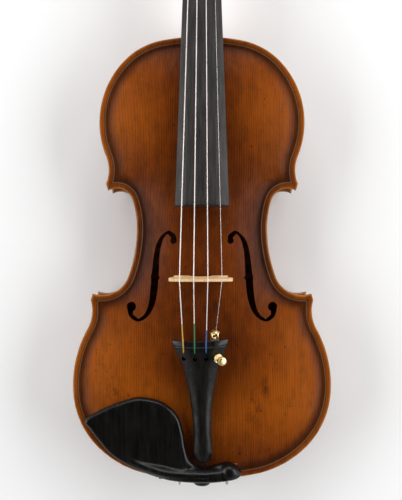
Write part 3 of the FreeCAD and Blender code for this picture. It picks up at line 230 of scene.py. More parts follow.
def arch(points):
    """Height of the belly's outer surface: the scaled swell less a fluted channel near the edge."""
    place_depth = depth(points)
    channel = 0.8 * np.exp(-(((place_depth - 7) / 3.2) ** 2))
    return BELLY_EDGE_Z + ARCH_RISE * swell(points, place_depth) / tallest - channel


def smooth_curve(points, count):
    """A Catmull-Rom curve through points, sampled evenly in its parameter."""
    points = np.asarray(points, float)
    padded = np.concatenate([2 * points[:1] - points[1:2], points, 2 * points[-1:] - points[-2:-1]])
    t = np.linspace(0, len(points) - 1 - 1e-9, count)
    index = t.astype(int)
    t = (t - index)[:, None]
    a, b, c, d = (padded[index + k] for k in range(4))
    return 0.5 * (2 * b + (c - a) * t + (2 * a - 5 * b + 4 * c - d) * t**2 + (3 * b - a - 3 * c + d) * t**3)


def sound_hole():
    """The treble sound hole as a closed anticlockwise outline: eye, slot, notches and eye."""
    outer = smooth_curve([(20.1, 191.2), (20.8, 196.0), (23.6, 198.6), (27.3, 199.8), (33.5, 194.7),
                          (37.1, 186.9), (39.4, 172.7), (40.9, 156.0), (42.0, 144.5), (43.7, 137.6),
                          (46.3, 132.9), (50.6, 129.6)], 90)
    inner = smooth_curve([(60.2, 139.2), (57.9, 131.6), (51.1, 127.6), (43.5, 131.2), (38.2, 139.6),
                          (35.5, 151.3), (34.4, 166.0), (33.6, 182.0), (31.0, 192.6), (27.0, 198.0)], 90)
    for line, side in ((outer, 1), (inner, -1)):
        line[:, 0] += side * 0.9 * np.clip(1.6 - np.abs(line[:, 1] - 162.5), 0, None)
    tip = outer[-1:] + np.linspace(0, 1, 5)[1:, None] * (np.array([(55.0, 133.3)]) - outer[-1:])
    turn = np.radians(np.linspace(256.0, -1.5, 28))[1:-1, None]
    lower_eye = (56.4, 139.3) + 3.8 * np.concatenate([np.cos(turn), np.sin(turn)], axis=1)
    turn = np.radians(np.linspace(53.7, -162.3, 20))[:-1, None]
    upper_eye = (22.6, 192.0) + 2.6 * np.concatenate([np.cos(turn), np.sin(turn)], axis=1)
    return np.concatenate([outer, tip, lower_eye, inner[:-1], upper_eye])[::-1] + (0, TAIL_Y)


def make_mesh(name, points, faces, smooth_angle=40.0):
    """A mesh object from points in millimetres, shaded smooth except at edges sharper than the angle."""
    mesh = bpy.data.meshes.new(name)
    mesh.from_pydata((np.asarray(points, float) * MM).tolist(), [], [tuple(face) for face in faces])
    mesh.validate()
    mesh.shade_smooth()
    mesh.set_sharp_from_angle(angle=math.radians(smooth_angle))
    made = bpy.data.objects.new(name, mesh)
    bpy.context.collection.objects.link(made)
    return made


def weld(made, distance=0.00001):
    """Merges doubled points and turns the faces outwards."""
    shape = bmesh.new()
    shape.from_mesh(made.data)
    bmesh.ops.remove_doubles(shape, verts=shape.verts, dist=distance)
    bmesh.ops.dissolve_degenerate(shape, edges=shape.edges, dist=distance / 10)
    bmesh.ops.recalc_face_normals(shape, faces=shape.faces)
    shape.to_mesh(made.data)
    shape.free()
    made.data.shade_smooth()
    made.data.set_sharp_from_angle(angle=math.radians(40))
    return made


# The edge's rounded section: how far in from the outline, and how far below its top, from outside to inside.
ROUNDED_EDGE = ((0.12, 1.2), (0.45, 0.6), (0.95, 0.22), (1.6, 0.05))
INNER_FLAT = 9.5


def plate_points(holes):
    """Points for a plate's skin: rings that follow the edge, then a triangular grid, clear of the holes."""
    rings = []
    normals = outward(OUTLINE)
    for inset in (2.4, 3.3, 4.3, 5.5, 6.8, 8.2, 9.8, 11.6, 13.6):
        ring = (OUTLINE - inset * normals)[::2 if inset > 4 else 1]
        rings.append(ring[nearest(ring, OUTLINE) > inset - 0.06])
    xs, ys = np.arange(-108, 108, 2.6), np.arange(TAIL_Y, TAIL_Y + BODY_LENGTH, 2.25)
    grid = np.stack(np.meshgrid(xs, ys), axis=-1)
    grid[1::2, :, 0] += 1.3
    grid = grid.reshape(-1, 2)
    grid = grid[inside(grid, OUTLINE)]
    rings.append(grid[nearest(grid, OUTLINE) > 14.8])
    points = np.concatenate(rings)
    for hole in holes:
        points = points[~inside(points, hole) & (nearest(points, hole) > 0.8)]
    return points


def arched_plate(name, holes, flipped):
    """A plate: an arched skin, a flat and hollow inner skin, a rounded edge between them, and hole walls."""
    rim = OUTLINE - ROUNDED_EDGE[-1][0] * outward(OUTLINE)
    loops = [rim] + holes
    flat = np.concatenate(loops + [plate_points(holes)])
    edges, first = [], 0
    for loop in loops:
        index = np.arange(len(loop))
        edges += np.stack([first + index, first + (index + 1) % len(loop)], axis=1).tolist()
        first += len(loop)
    flat, _, faces, _, _, _ = delaunay_2d_cdt(flat.tolist(), edges, [], 1, 1e-5)
    flat = np.array([tuple(point) for point in flat])
    faces = np.array([tuple(face) for face in faces])
    middles = flat[faces].mean(axis=1)
    keep = inside(middles, rim)
    for hole in holes:
        keep &= ~inside(middles, hole)
    faces = faces[keep]
    top = arch(flat)
    rim_count = len(rim)
    true_depth = nearest(flat, OUTLINE)
    floor = np.where(true_depth < INNER_FLAT, BELLY_JOINT_Z, top - PLATE_THICKNESS)
    floor = np.maximum(floor, BELLY_JOINT_Z)
    top[:rim_count] -= ROUNDED_EDGE[-1][1]
    count = len(flat)
    points = [np.column_stack([flat, top]), np.column_stack([flat, floor])]
    skins = [faces, faces[:, ::-1] + count]
    normals = outward(OUTLINE)
    levels = [(inset, BELLY_EDGE_Z - drop) for inset, drop in ROUNDED_EDGE[-2::-1]]
    levels += [(0.0, BELLY_EDGE_Z - 2.0)]
    levels += [(inset, BELLY_JOINT_Z + drop) for inset, drop in ROUNDED_EDGE[:-1]]
    walls = []
    previous = np.arange(rim_count)
    start = 2 * count
    for inset, z in levels:
        ring = OUTLINE - inset * normals
        points.append(np.column_stack([ring, np.full(rim_count, z)]))
        current = start + np.arange(rim_count)
        walls.append(np.stack([previous, current, np.roll(current, -1), np.roll(previous, -1)], axis=1))
        previous, start = current, start + rim_count
    current = count + np.arange(rim_count)
    walls.append(np.stack([previous, current, np.roll(current, -1), np.roll(previous, -1)], axis=1))
    first = rim_count
    for hole in holes:
        index = first + np.arange(len(hole))
        after = np.roll(index, -1)
        walls.append(np.stack([index, after, after + count, index + count], axis=1))
        first += len(hole)
    points = np.concatenate(points)
    if flipped:
        points[:, 2] = 2 * MIRROR_Z - points[:, 2]
    all_faces = skins[0].tolist() + skins[1].tolist() + np.concatenate(walls).tolist()
    made = weld(make_mesh(name, points, all_faces))
    store_edge(made)
    return made


def store_edge(made):
    """Keeps each point's distance from the body's outline, in millimetres, for the varnish to read."""
    places = np.empty(len(made.data.vertices) * 3)
    made.data.vertices.foreach_get("co", places)
    places = places.reshape(-1, 3)[:, :2] / MM
    away = nearest(places, OUTLINE) * np.where(inside(places, OUTLINE), 1, -1)
    layer = made.data.attributes.new("edge_mm", "FLOAT", "POINT")
    layer.data.foreach_set("value", np.clip(away, -5, 60).astype(np.float32))
    return made


hole = sound_hole()
belly = arched_plate("belly", [hole, hole[::-1] * (-1, 1)], False)
back = arched_plate("back", [], True)
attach(belly, "violin")
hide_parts("top_plate")
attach(back, "violin")
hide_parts("back_plate")


# ---------------------------------------------------------------- varnish on belly and back
# Old spirit varnish over spruce and maple: golden ground, red-brown colour coat worn thin on the bouts,
# dirt in the channel and the waists, and bare golden wood showing along the rubbed edges.


def node(tree, kind, inputs=None, **settings):
    """Adds a shader node, sets its options, and sets or links each input that is named or numbered."""
    made = tree.nodes.new(kind)
    for key, value in settings.items():
        setattr(made, key, value)
    for key, value in (inputs or {}).items():
        socket = made.inputs[key]
        if isinstance(value, bpy.types.NodeSocket):
            tree.links.new(value, socket)
        else:
            socket.default_value = value
    return made


def math_node(tree, operation, first, second=0.0, third=0.0, clamp=False):
    """The output of a Math node."""
    return node(tree, "ShaderNodeMath", {0: first, 1: second, 2: third}, operation=operation,
                use_clamp=clamp).outputs[0]


def mix_colour(tree, factor, first, second, blend="MIX"):
    """The colour output of a Mix node, whose colour sockets are the third pair."""
    made = tree.nodes.new("ShaderNodeMix")
    made.data_type, made.blend_type = "RGBA", blend
    for socket, value in ((made.inputs[0], factor), (made.inputs[6], first), (made.inputs[7], second)):
        if isinstance(value, bpy.types.NodeSocket):
            tree.links.new(value, socket)
        else:
            socket.default_value = value
    return made.outputs[2]


def remap(tree, value, low, high, start=0.0, end=1.0):
    """A value moved smoothly from one range to another."""
    return node(tree, "ShaderNodeMapRange", {0: value, 1: low, 2: high, 3: start, 4: end},
                interpolation_type="SMOOTHSTEP").outputs[0]


def noise(tree, vector, scale, detail=4.0, roughness=0.55):
    """The value of a noise texture on a vector in millimetres."""
    return node(tree, "ShaderNodeTexNoise", {"Vector": vector, "Scale": scale, "Detail": detail,
                                             "Roughness": roughness}).outputs["Fac"]


def stretched(tree, vector, scale):
    """A vector with its three parts scaled."""
    return node(tree, "ShaderNodeMapping", {"Vector": vector, "Scale": scale}).outputs[0]


def group(name, inputs, outputs):
    """An empty shader node group with named sockets: its tree, its input node and its output node."""
    tree = bpy.data.node_groups.new(name, "ShaderNodeTree")
    for label, kind, value in inputs:
        socket = tree.interface.new_socket(label, in_out="INPUT", socket_type=kind)
        if value is not None:
            socket.default_value = value
    for label, kind in outputs:
        tree.interface.new_socket(label, in_out="OUTPUT", socket_type=kind)
    return tree, tree.nodes.new("NodeGroupInput"), tree.nodes.new("NodeGroupOutput")


def group_node(material_tree, group_tree, inputs):
    """A group placed in a material with its own values."""
    made = material_tree.nodes.new("ShaderNodeGroup")
    made.node_tree = group_tree
    for key, value in inputs.items():
        if isinstance(value, bpy.types.NodeSocket):
            material_tree.links.new(value, made.inputs[key])
        else:
            made.inputs[key].default_value = value
    return made


def in_millimetres(tree):
    """Object coordinates in millimetres."""
    place = tree.nodes.new("ShaderNodeTexCoord").outputs["Object"]
    return node(tree, "ShaderNodeVectorMath", {0: place, 1: (1000, 1000, 1000)},
                operation="MULTIPLY").outputs[0]


def new_material(name, roughness=0.4, coat=0.0, coat_roughness=0.1, metallic=0.0):
    """A material with one Principled shader: the material, its tree and the shader."""
    made = bpy.data.materials.new(name)
    made.use_nodes = True
    shader = made.node_tree.nodes["Principled BSDF"]
    shader.inputs["Roughness"].default_value = roughness
    shader.inputs["Coat Weight"].default_value = coat
    shader.inputs["Coat Roughness"].default_value = coat_roughness
    shader.inputs["Metallic"].default_value = metallic
    return made, made.node_tree, shader


def finish_with(made, *materials):
    """Gives a piece its materials."""
    made.data.materials.clear()
    for material in materials:
        made.data.materials.append(material)
    return made


def add_bump(tree, shader, height, strength, distance):
    """Roughens a surface by a height value, without moving it."""
    bump = node(tree, "ShaderNodeBump", {"Height": height, "Strength": strength, "Distance": distance})
    tree.links.new(bump.outputs[0], shader.inputs["Normal"])


def shaded(tree, colour, shade):
    """A colour made lighter or darker by a value."""
    return node(tree, "ShaderNodeVectorMath", {0: colour, 3: shade}, operation="SCALE").outputs[0]


# Straight grain: dark winter lines a millimetre or so apart, wandering a little, with fine fibres between.
grain_tree, g_in, g_out = group(
    "straight_grain",
    [("Vector", "NodeSocketVector", None), ("Spacing", "NodeSocketFloat", 1.2)],
    [("Lines", "NodeSocketFloat"), ("Fibres", "NodeSocketFloat")],
)
wander = noise(grain_tree, stretched(grain_tree, g_in.outputs["Vector"], (0.03, 0.006, 0.02)), 1.0, 2.0)
parts = node(grain_tree, "ShaderNodeSeparateXYZ", {0: g_in.outputs["Vector"]})
spread = math_node(grain_tree, "MULTIPLY", math_node(grain_tree, "SUBTRACT", wander, 0.5), 9.0)
across = math_node(grain_tree, "ADD", parts.outputs[0], spread)
turns = math_node(grain_tree, "DIVIDE", across, g_in.outputs["Spacing"])
wave = math_node(grain_tree, "SINE", math_node(grain_tree, "MULTIPLY", turns, math.tau))
lines = math_node(grain_tree, "POWER", math_node(grain_tree, "MULTIPLY_ADD", wave, 0.5, 0.5), 2.2)
strength = noise(grain_tree, stretched(grain_tree, g_in.outputs["Vector"], (0.35, 0.012, 0.05)), 1.0, 3.0)
grain_tree.links.new(math_node(grain_tree, "MULTIPLY", lines, strength), g_out.inputs["Lines"])
fibres = noise(grain_tree, stretched(grain_tree, g_in.outputs["Vector"], (3.2, 0.07, 0.6)), 1.0, 4.0, 0.65)
grain_tree.links.new(fibres, g_out.inputs["Fibres"])

# Curl: the cross stripes of flamed maple, which break up and swap sides like ripples.
curl_tree, g_in, g_out = group(
    "maple_curl",
    [("Vector", "NodeSocketVector", None), ("Spacing", "NodeSocketFloat", 8.0)],
    [("Stripes", "NodeSocketFloat")],
)
bend = noise(curl_tree, stretched(curl_tree, g_in.outputs["Vector"], (0.035, 0.02, 0.02)), 1.0, 3.0)
parts = node(curl_tree, "ShaderNodeSeparateXYZ", {0: g_in.outputs["Vector"]})
shift = math_node(curl_tree, "MULTIPLY", math_node(curl_tree, "SUBTRACT", bend, 0.5), 34.0)
tilt = math_node(curl_tree, "MULTIPLY_ADD", parts.outputs[0], 0.22, shift)
turns = math_node(curl_tree, "DIVIDE", math_node(curl_tree, "ADD", parts.outputs[1], tilt),
                  g_in.outputs["Spacing"])
wave = math_node(curl_tree, "SINE", math_node(curl_tree, "MULTIPLY", turns, math.tau))
depth_of_curl = noise(curl_tree, stretched(curl_tree, g_in.outputs["Vector"], (0.09, 0.05, 0.05)), 1.0, 3.0)
stripes = math_node(curl_tree, "MULTIPLY", wave, remap(curl_tree, depth_of_curl, 0.32, 0.68))
curl_tree.links.new(math_node(curl_tree, "MULTIPLY_ADD", stripes, 0.5, 0.5), g_out.inputs["Stripes"])

# Age: large worn patches, small blotches, dark specks and fine scratches.
age_tree, g_in, g_out = group(
    "old_varnish",
    [("Vector", "NodeSocketVector", None), ("Patch size", "NodeSocketFloat", 45.0)],
    [("Worn", "NodeSocketFloat"), ("Blotches", "NodeSocketFloat"), ("Specks", "NodeSocketFloat"),
     ("Scratches", "NodeSocketFloat")],
)
size = math_node(age_tree, "DIVIDE", 1.0, g_in.outputs["Patch size"])
age_tree.links.new(remap(age_tree, noise(age_tree, g_in.outputs["Vector"], size, 5.0), 0.36, 0.66),
                   g_out.inputs["Worn"])
age_tree.links.new(noise(age_tree, stretched(age_tree, g_in.outputs["Vector"], (1.0, 0.45, 1.0)), 0.16, 7.0,
                         0.62),
                   g_out.inputs["Blotches"])
dots = noise(age_tree, g_in.outputs["Vector"], 0.42, 2.0, 0.4)
age_tree.links.new(remap(age_tree, dots, 0.70, 0.77), g_out.inputs["Specks"])
fine = noise(age_tree, stretched(age_tree, g_in.outputs["Vector"], (1.6, 0.16, 1.0)), 1.0, 3.0, 0.7)
age_tree.links.new(remap(age_tree, fine, 0.66, 0.74), g_out.inputs["Scratches"])


def spot(tree, parts, x, y, wide, tall):
    """A soft oval mask: one at (x, y), falling to nothing a few widths away, like exp(-r squared)."""
    across = math_node(tree, "DIVIDE", math_node(tree, "SUBTRACT", parts.outputs[0], x), wide)
    along = math_node(tree, "DIVIDE", math_node(tree, "SUBTRACT", parts.outputs[1], y), tall)
    away = math_node(tree, "ADD", math_node(tree, "MULTIPLY", across, across),
                     math_node(tree, "MULTIPLY", along, along))
    return math_node(tree, "POWER", 2.718, math_node(tree, "MULTIPLY", away, -1.0))


def sum_of(tree, values):
    """Several values added and held between nought and one."""
    total = values[0]
    for value in values[1:]:
        total = math_node(tree, "ADD", total, value, clamp=True)
    return total


GOLD_BROWN = (0.285, 0.066, 0.004, 1)
RED_BROWN = (0.135, 0.027, 0.003, 1)
DARK_BROWN = (0.052, 0.011, 0.003, 1)
WAIST_RED = (0.070, 0.018, 0.008, 1)
CHANNEL_DIRT = (0.024, 0.007, 0.003, 1)
BARE_EDGE = (0.36, 0.15, 0.035, 1)

belly_varnish, tree, shader = new_material("belly_varnish", 0.38, 0.03, 0.12)
shader.inputs["Specular IOR Level"].default_value = 0.05
place = in_millimetres(tree)
parts = node(tree, "ShaderNodeSeparateXYZ", {0: place})
grain = group_node(tree, grain_tree, {"Vector": place, "Spacing": 1.25})
age = group_node(tree, age_tree, {"Vector": place, "Patch size": 42.0})
edge = node(tree, "ShaderNodeAttribute", attribute_name="edge_mm").outputs["Fac"]
golden = sum_of(tree, [
    spot(tree, parts, -68, 5, 30, 38), spot(tree, parts, 66, 8, 30, 40), spot(tree, parts, -78, -195, 32, 48),
    spot(tree, parts, 80, -205, 30, 55), spot(tree, parts, 0, -232, 60, 26),
])
gilded = math_node(tree, "MULTIPLY", golden, remap(tree, age.outputs["Blotches"], 0.30, 0.62, 0.55, 1.0))
gilded = math_node(tree, "MULTIPLY_ADD", age.outputs["Worn"], 0.22, gilded, clamp=True)
colour = mix_colour(tree, gilded, RED_BROWN, GOLD_BROWN)
waist = math_node(tree, "ADD", spot(tree, parts, -48, -105, 16, 42), spot(tree, parts, 48, -105, 16, 42))
colour = mix_colour(tree, math_node(tree, "MULTIPLY", waist, 0.75, clamp=True), colour, WAIST_RED)
dark = sum_of(tree, [spot(tree, parts, 0, -60, 27, 80), spot(tree, parts, 2, -190, 30, 60)])
colour = mix_colour(tree, math_node(tree, "MULTIPLY", dark, 0.72), colour, DARK_BROWN)
stains = sum_of(tree, [spot(tree, parts, 41, -231, 4, 13), spot(tree, parts, 50, -215, 3, 8),
                       spot(tree, parts, -70, -222, 6, 14), spot(tree, parts, 0, -152, 16, 9)])
stains = math_node(tree, "MULTIPLY", stains, remap(tree, age.outputs["Blotches"], 0.38, 0.60))
colour = mix_colour(tree, math_node(tree, "MULTIPLY", stains, 0.7), colour, DARK_BROWN)
channel = math_node(tree, "MULTIPLY", remap(tree, edge, 3.0, 5.0), remap(tree, edge, 15.0, 6.5))
colour = mix_colour(tree, math_node(tree, "MULTIPLY", channel, 0.8), colour, CHANNEL_DIRT)
shade = remap(tree, age.outputs["Blotches"], 0.25, 0.75, 1.28, 0.74)
shade = math_node(tree, "MULTIPLY", shade, remap(tree, grain.outputs["Lines"], 0.0, 0.65, 1.12, 0.50))
shade = math_node(tree, "MULTIPLY", shade, remap(tree, grain.outputs["Fibres"], 0.3, 0.7, 0.88, 1.12))
scaled = shaded(tree, colour, shade)
colour = mix_colour(tree, math_node(tree, "MULTIPLY", age.outputs["Specks"], 0.75), scaled, CHANNEL_DIRT)
colour = mix_colour(tree, math_node(tree, "MULTIPLY", age.outputs["Scratches"], 0.18), colour, GOLD_BROWN)
rubbed = remap(tree, math_node(tree, "MULTIPLY_ADD", age.outputs["Blotches"], 2.0, edge), 2.9, 1.3, 0.0, 0.85)
colour = mix_colour(tree, rubbed, colour, BARE_EDGE)
tree.links.new(colour, shader.inputs["Base Color"])
rough = remap(tree, age.outputs["Blotches"], 0.3, 0.7, 0.30, 0.46)
tree.links.new(rough, shader.inputs["Roughness"])
height = math_node(tree, "MULTIPLY_ADD", grain.outputs["Lines"], -0.5, age.outputs["Blotches"])
add_bump(tree, shader, height, 0.22, 0.0002)
finish_with(belly, belly_varnish)

# The back is two-piece maple, curl sloping up from the joint, with the same varnish in better order.
back_varnish, tree, shader = new_material("back_varnish", 0.32, 0.45, 0.15)
place = in_millimetres(tree)
parts = node(tree, "ShaderNodeSeparateXYZ", {0: place})
half = math_node(tree, "ABSOLUTE", parts.outputs[0])
folded = node(tree, "ShaderNodeCombineXYZ", {0: half, 1: parts.outputs[1], 2: parts.outputs[2]}).outputs[0]
curl = group_node(tree, curl_tree, {"Vector": folded, "Spacing": 9.0})
grain = group_node(tree, grain_tree, {"Vector": folded, "Spacing": 2.4})
age = group_node(tree, age_tree, {"Vector": place, "Patch size": 60.0})
edge = node(tree, "ShaderNodeAttribute", attribute_name="edge_mm").outputs["Fac"]
colour = mix_colour(tree, remap(tree, curl.outputs["Stripes"], 0.1, 0.9), RED_BROWN, GOLD_BROWN)
colour = mix_colour(tree, math_node(tree, "MULTIPLY", age.outputs["Worn"], 0.35), colour, GOLD_BROWN)
shade = math_node(tree, "MULTIPLY", remap(tree, age.outputs["Blotches"], 0.25, 0.75, 1.2, 0.8),
                  remap(tree, grain.outputs["Lines"], 0.0, 0.8, 1.05, 0.85))
seam = remap(tree, half, 0.10, 0.35, 0.45, 1.0)
scaled = shaded(tree, colour, math_node(tree, "MULTIPLY", shade, seam))
channel = math_node(tree, "MULTIPLY", remap(tree, edge, 3.0, 5.0), remap(tree, edge, 13.0, 6.5))
colour = mix_colour(tree, math_node(tree, "MULTIPLY", channel, 0.45), scaled, CHANNEL_DIRT)
colour = mix_colour(tree, math_node(tree, "MULTIPLY", age.outputs["Specks"], 0.6), colour, CHANNEL_DIRT)
rubbed = remap(tree, math_node(tree, "MULTIPLY_ADD", age.outputs["Blotches"], 2.0, edge), 2.9, 1.3, 0.0, 0.8)
tree.links.new(mix_colour(tree, rubbed, colour, BARE_EDGE), shader.inputs["Base Color"])
tree.links.new(remap(tree, age.outputs["Blotches"], 0.3, 0.7, 0.24, 0.40), shader.inputs["Roughness"])
add_bump(tree, shader, age.outputs["Blotches"], 0.12, 0.0002)
finish_with(back, back_varnish)


# ---------------------------------------------------------------- purfling
# Three strips of wood, black, pale and black, glued edge to edge and let into a groove 4 mm inside the
# edge of each plate. Their ends meet in a mitre at each corner.


def grid_faces(rows, columns, wrap_columns=False, wrap_rows=False):
    """Quads over a grid of points that is numbered row by row."""
    index = np.arange(rows * columns).reshape(rows, columns)
    if wrap_columns:
        index = np.concatenate([index, index[:, :1]], axis=1)
    if wrap_rows:
        index = np.concatenate([index, index[:1]], axis=0)
    quads = np.stack([index[:-1, :-1], index[:-1, 1:], index[1:, 1:], index[1:, :-1]], axis=-1)
    return quads.reshape(-1, 4).tolist()


def skin(name, rings, smooth_angle=40.0, looped=False):
    """A closed skin through rings of points, shaped (rings, points round, 3), with a fan over each end."""
    rings = np.asarray(rings, float)
    count, around = rings.shape[:2]
    faces = grid_faces(count, around, wrap_columns=True, wrap_rows=looped)
    points = rings.reshape(-1, 3)
    if not looped:
        first, last = count * around, count * around + 1
        points = np.concatenate([points, rings[:1].mean(axis=1), rings[-1:].mean(axis=1)])
        ring = np.arange(around)
        faces += np.stack([ring, np.full(around, first), np.roll(ring, -1)], axis=1).tolist()
        ring = ring + (count - 1) * around
        faces += np.stack([np.roll(ring, -1), np.full(around, last), ring], axis=1).tolist()
    made = weld(make_mesh(name, points, faces))
    made.data.set_sharp_from_angle(angle=math.radians(smooth_angle))
    return made


def offset_ring(distance, slack=0.05):
    """The outline moved inwards as a closed line, without the loops that form past the corners."""
    ring = OUTLINE - distance * outward(OUTLINE)
    ring = ring[nearest(ring, OUTLINE) > distance - slack]
    gap = np.linalg.norm(ring - np.roll(ring, 1, axis=0), axis=1)
    return ring[gap > 0.15]


def purfling(name, flipped):
    """The inlay: a strip 1.3 mm wide that lies a hair above the arch and reaches 0.4 mm into the plate."""
    middle = offset_ring(4.65)
    sides = outward(middle)
    rows = []
    for across, drop in ((-0.65, 0.4), (-0.65, -0.05), (-0.28, -0.06), (0.28, -0.06), (0.65, -0.05),
                         (0.65, 0.4)):
        line = middle + across * sides
        rows.append(np.column_stack([line, arch(line) - drop]))
    rings = np.stack(rows, axis=1)
    if flipped:
        rings[:, :, 2] = 2 * MIRROR_Z - rings[:, :, 2]
    made = skin(name, rings, 60, looped=True)
    places = np.empty(len(made.data.vertices) * 3)
    made.data.vertices.foreach_get("co", places)
    away = nearest(places.reshape(-1, 3)[:, :2] / MM, middle)
    layer = made.data.attributes.new("ply_mm", "FLOAT", "POINT")
    layer.data.foreach_set("value", away.astype(np.float32))
    return made


purfling_wood, tree, shader = new_material("purfling_wood", 0.45, 0.25, 0.2)
age = group_node(tree, age_tree, {"Vector": in_millimetres(tree), "Patch size": 20.0})
ply = node(tree, "ShaderNodeAttribute", attribute_name="ply_mm").outputs["Fac"]
pale = mix_colour(tree, age.outputs["Blotches"], (0.20, 0.085, 0.02, 1), (0.09, 0.03, 0.008, 1))
colour = mix_colour(tree, remap(tree, ply, 0.30, 0.42), pale, (0.012, 0.006, 0.004, 1))
tree.links.new(colour, shader.inputs["Base Color"])

for name, flipped, body_node in (("belly_purfling", False, "purfling_top"),
                                 ("back_purfling", True, "purfling_back")):
    inlay = finish_with(purfling(name, flipped), purfling_wood)
    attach(inlay, "violin")
    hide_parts(body_node)


# ---------------------------------------------------------------- button of the back
# A rounded tongue of the back's own maple that runs out under the neck's heel, and holds the neck by a glued
# face. It is one piece with the back, so it is joined to it and takes the same varnish.


def joined(name, parts):
    """Several pieces made into one."""
    bpy.ops.object.select_all(action="DESELECT")
    for part in parts:
        part.select_set(True)
    bpy.context.view_layer.objects.active = parts[0]
    bpy.ops.object.join()
    parts[0].name = name
    return parts[0]


def button_rings():
    """The tongue: rings of one plan, a half circle of 10.5 mm with straight sides."""
    turn = np.linspace(0, math.pi, 33)
    plan = np.concatenate([np.column_stack([np.cos(turn), np.sin(turn)]) * 10.5 + (0, Y_TOP + 2.5),
                           [(-10.5, Y_TOP - 2.0), (-10.5, Y_TOP - 6.5), (10.5, Y_TOP - 6.5),
                            (10.5, Y_TOP - 2.0)]])
    middle = np.array((0, Y_TOP))
    lift = 1.3 * np.clip((Y_TOP - 1.0 - plan[:, 1]) / 5.5, 0, 1)
    rings = []
    for height, less in ((0.0, 0.7), (0.25, 0.22), (0.7, 0.0), (4.0, 0.0)):
        rings.append(np.column_stack([middle + (plan - middle) * (1 - less / 10.5),
                                      BACK_JOINT_Z - EDGE_THICKNESS + height + lift * (1 - height / 4.0)]))
    return np.array(rings)


Y_TOP = TAIL_Y + BODY_LENGTH
back_tongue = skin("back_tongue", button_rings(), 35)
layer = back_tongue.data.attributes.new("edge_mm", "FLOAT", "POINT")
layer.data.foreach_set("value", np.full(len(back_tongue.data.vertices), 20.0, np.float32))
joined("back", [back, finish_with(back_tongue, back_varnish)])


# ---------------------------------------------------------------- ribs
# Six strips of flamed maple 1.2 mm thick, bent to the outline and set 2.7 mm inside the plates' edges.
# They are glued to the blocks and linings, and meet at the corners and at the tail.

UPPER_SPLIT, LOWER_SPLIT = -56.6, -144.8
RIB_INSET, RIB_THICKNESS = 2.7, 1.2


def rib(name, side, low_y, high_y):
    """One rib: its outer line is the outline moved in, and each ring is a tall thin rectangle."""
    line = offset_ring(RIB_INSET + RIB_THICKNESS / 2)
    keep = (line[:, 0] * side > -0.4) & (line[:, 1] > low_y) & (line[:, 1] < high_y)
    start = int(np.argmax(keep & ~np.roll(keep, 1)))
    line = np.roll(line, -start, axis=0)[:keep.sum()]
    way = np.gradient(line, axis=0)
    way /= np.linalg.norm(way, axis=1)[:, None]
    sides = np.stack([way[:, 1], -way[:, 0]], axis=1) * RIB_THICKNESS / 2
    rings = []
    for share, z in ((-1, 15.0), (-1, 46.0), (1, 46.0), (1, 36.0), (1, 25.0), (1, 15.0)):
        rings.append(np.column_stack([line + share * sides, np.full(len(line), z)]))
    made = skin(name, np.stack(rings, axis=1), 30)
    run = np.concatenate([[0], np.cumsum(np.linalg.norm(np.diff(line, axis=0), axis=1))])
    places = np.empty(len(made.data.vertices) * 3)
    made.data.vertices.foreach_get("co", places)
    places = places.reshape(-1, 3)[:, :2] / MM
    closest = ((places[:, None, :] - line) ** 2).sum(axis=2).argmin(axis=1)
    layer = made.data.attributes.new("run_mm", "FLOAT", "POINT")
    layer.data.foreach_set("value", run[closest].astype(np.float32))
    return made


rib_varnish, tree, shader = new_material("rib_varnish", 0.33, 0.45, 0.15)
place = in_millimetres(tree)
parts = node(tree, "ShaderNodeSeparateXYZ", {0: place})
run = node(tree, "ShaderNodeAttribute", attribute_name="run_mm").outputs["Fac"]
unrolled = node(tree, "ShaderNodeCombineXYZ", {0: parts.outputs[2], 1: run, 2: 0.0}).outputs[0]
curl = group_node(tree, curl_tree, {"Vector": unrolled, "Spacing": 7.0})
age = group_node(tree, age_tree, {"Vector": place, "Patch size": 35.0})
colour = mix_colour(tree, remap(tree, curl.outputs["Stripes"], 0.1, 0.9), RED_BROWN, GOLD_BROWN)
shade = remap(tree, age.outputs["Blotches"], 0.25, 0.75, 1.15, 0.7)
scaled = shaded(tree, colour, shade)
# Darker within 5 mm of the belly and of the back, where the ribs meet the plates, with dark specks.
darkening = sum_of(tree, [remap(tree, parts.outputs[2], 41.0, 46.0), remap(tree, parts.outputs[2], 20.0, 15.0),
                     age.outputs["Specks"]])
tree.links.new(mix_colour(tree, math_node(tree, "MULTIPLY", darkening, 0.7), scaled, CHANNEL_DIRT),
               shader.inputs["Base Color"])
tree.links.new(remap(tree, age.outputs["Blotches"], 0.3, 0.7, 0.25, 0.42), shader.inputs["Roughness"])
add_bump(tree, shader, age.outputs["Blotches"], 0.12, 0.0002)

for name, low_y, high_y in (("lower", -400.0, LOWER_SPLIT), ("middle", LOWER_SPLIT, UPPER_SPLIT),
                            ("upper", UPPER_SPLIT, 200.0)):
    for side_name, side in (("bass", -1), ("treble", 1)):
        strip = finish_with(rib(f"{name}_rib_{side_name}", side, low_y, high_y), rib_varnish)
        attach(strip, "violin")
        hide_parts(f"rib_{name}_{side_name}")


# ---------------------------------------------------------------- neck
# One piece of plain maple, rounded for the hand and oiled, not varnished. Its heel is let into the neck
# block and stands on the button of the back.

NECK = Matrix.Translation((0, Y_TOP + 130.0, BELLY_EDGE_Z + 6.0 - 130.0 * math.tan(math.radians(6.3))))
NECK = NECK @ Matrix.Rotation(math.radians(-6.3), 4, "X")
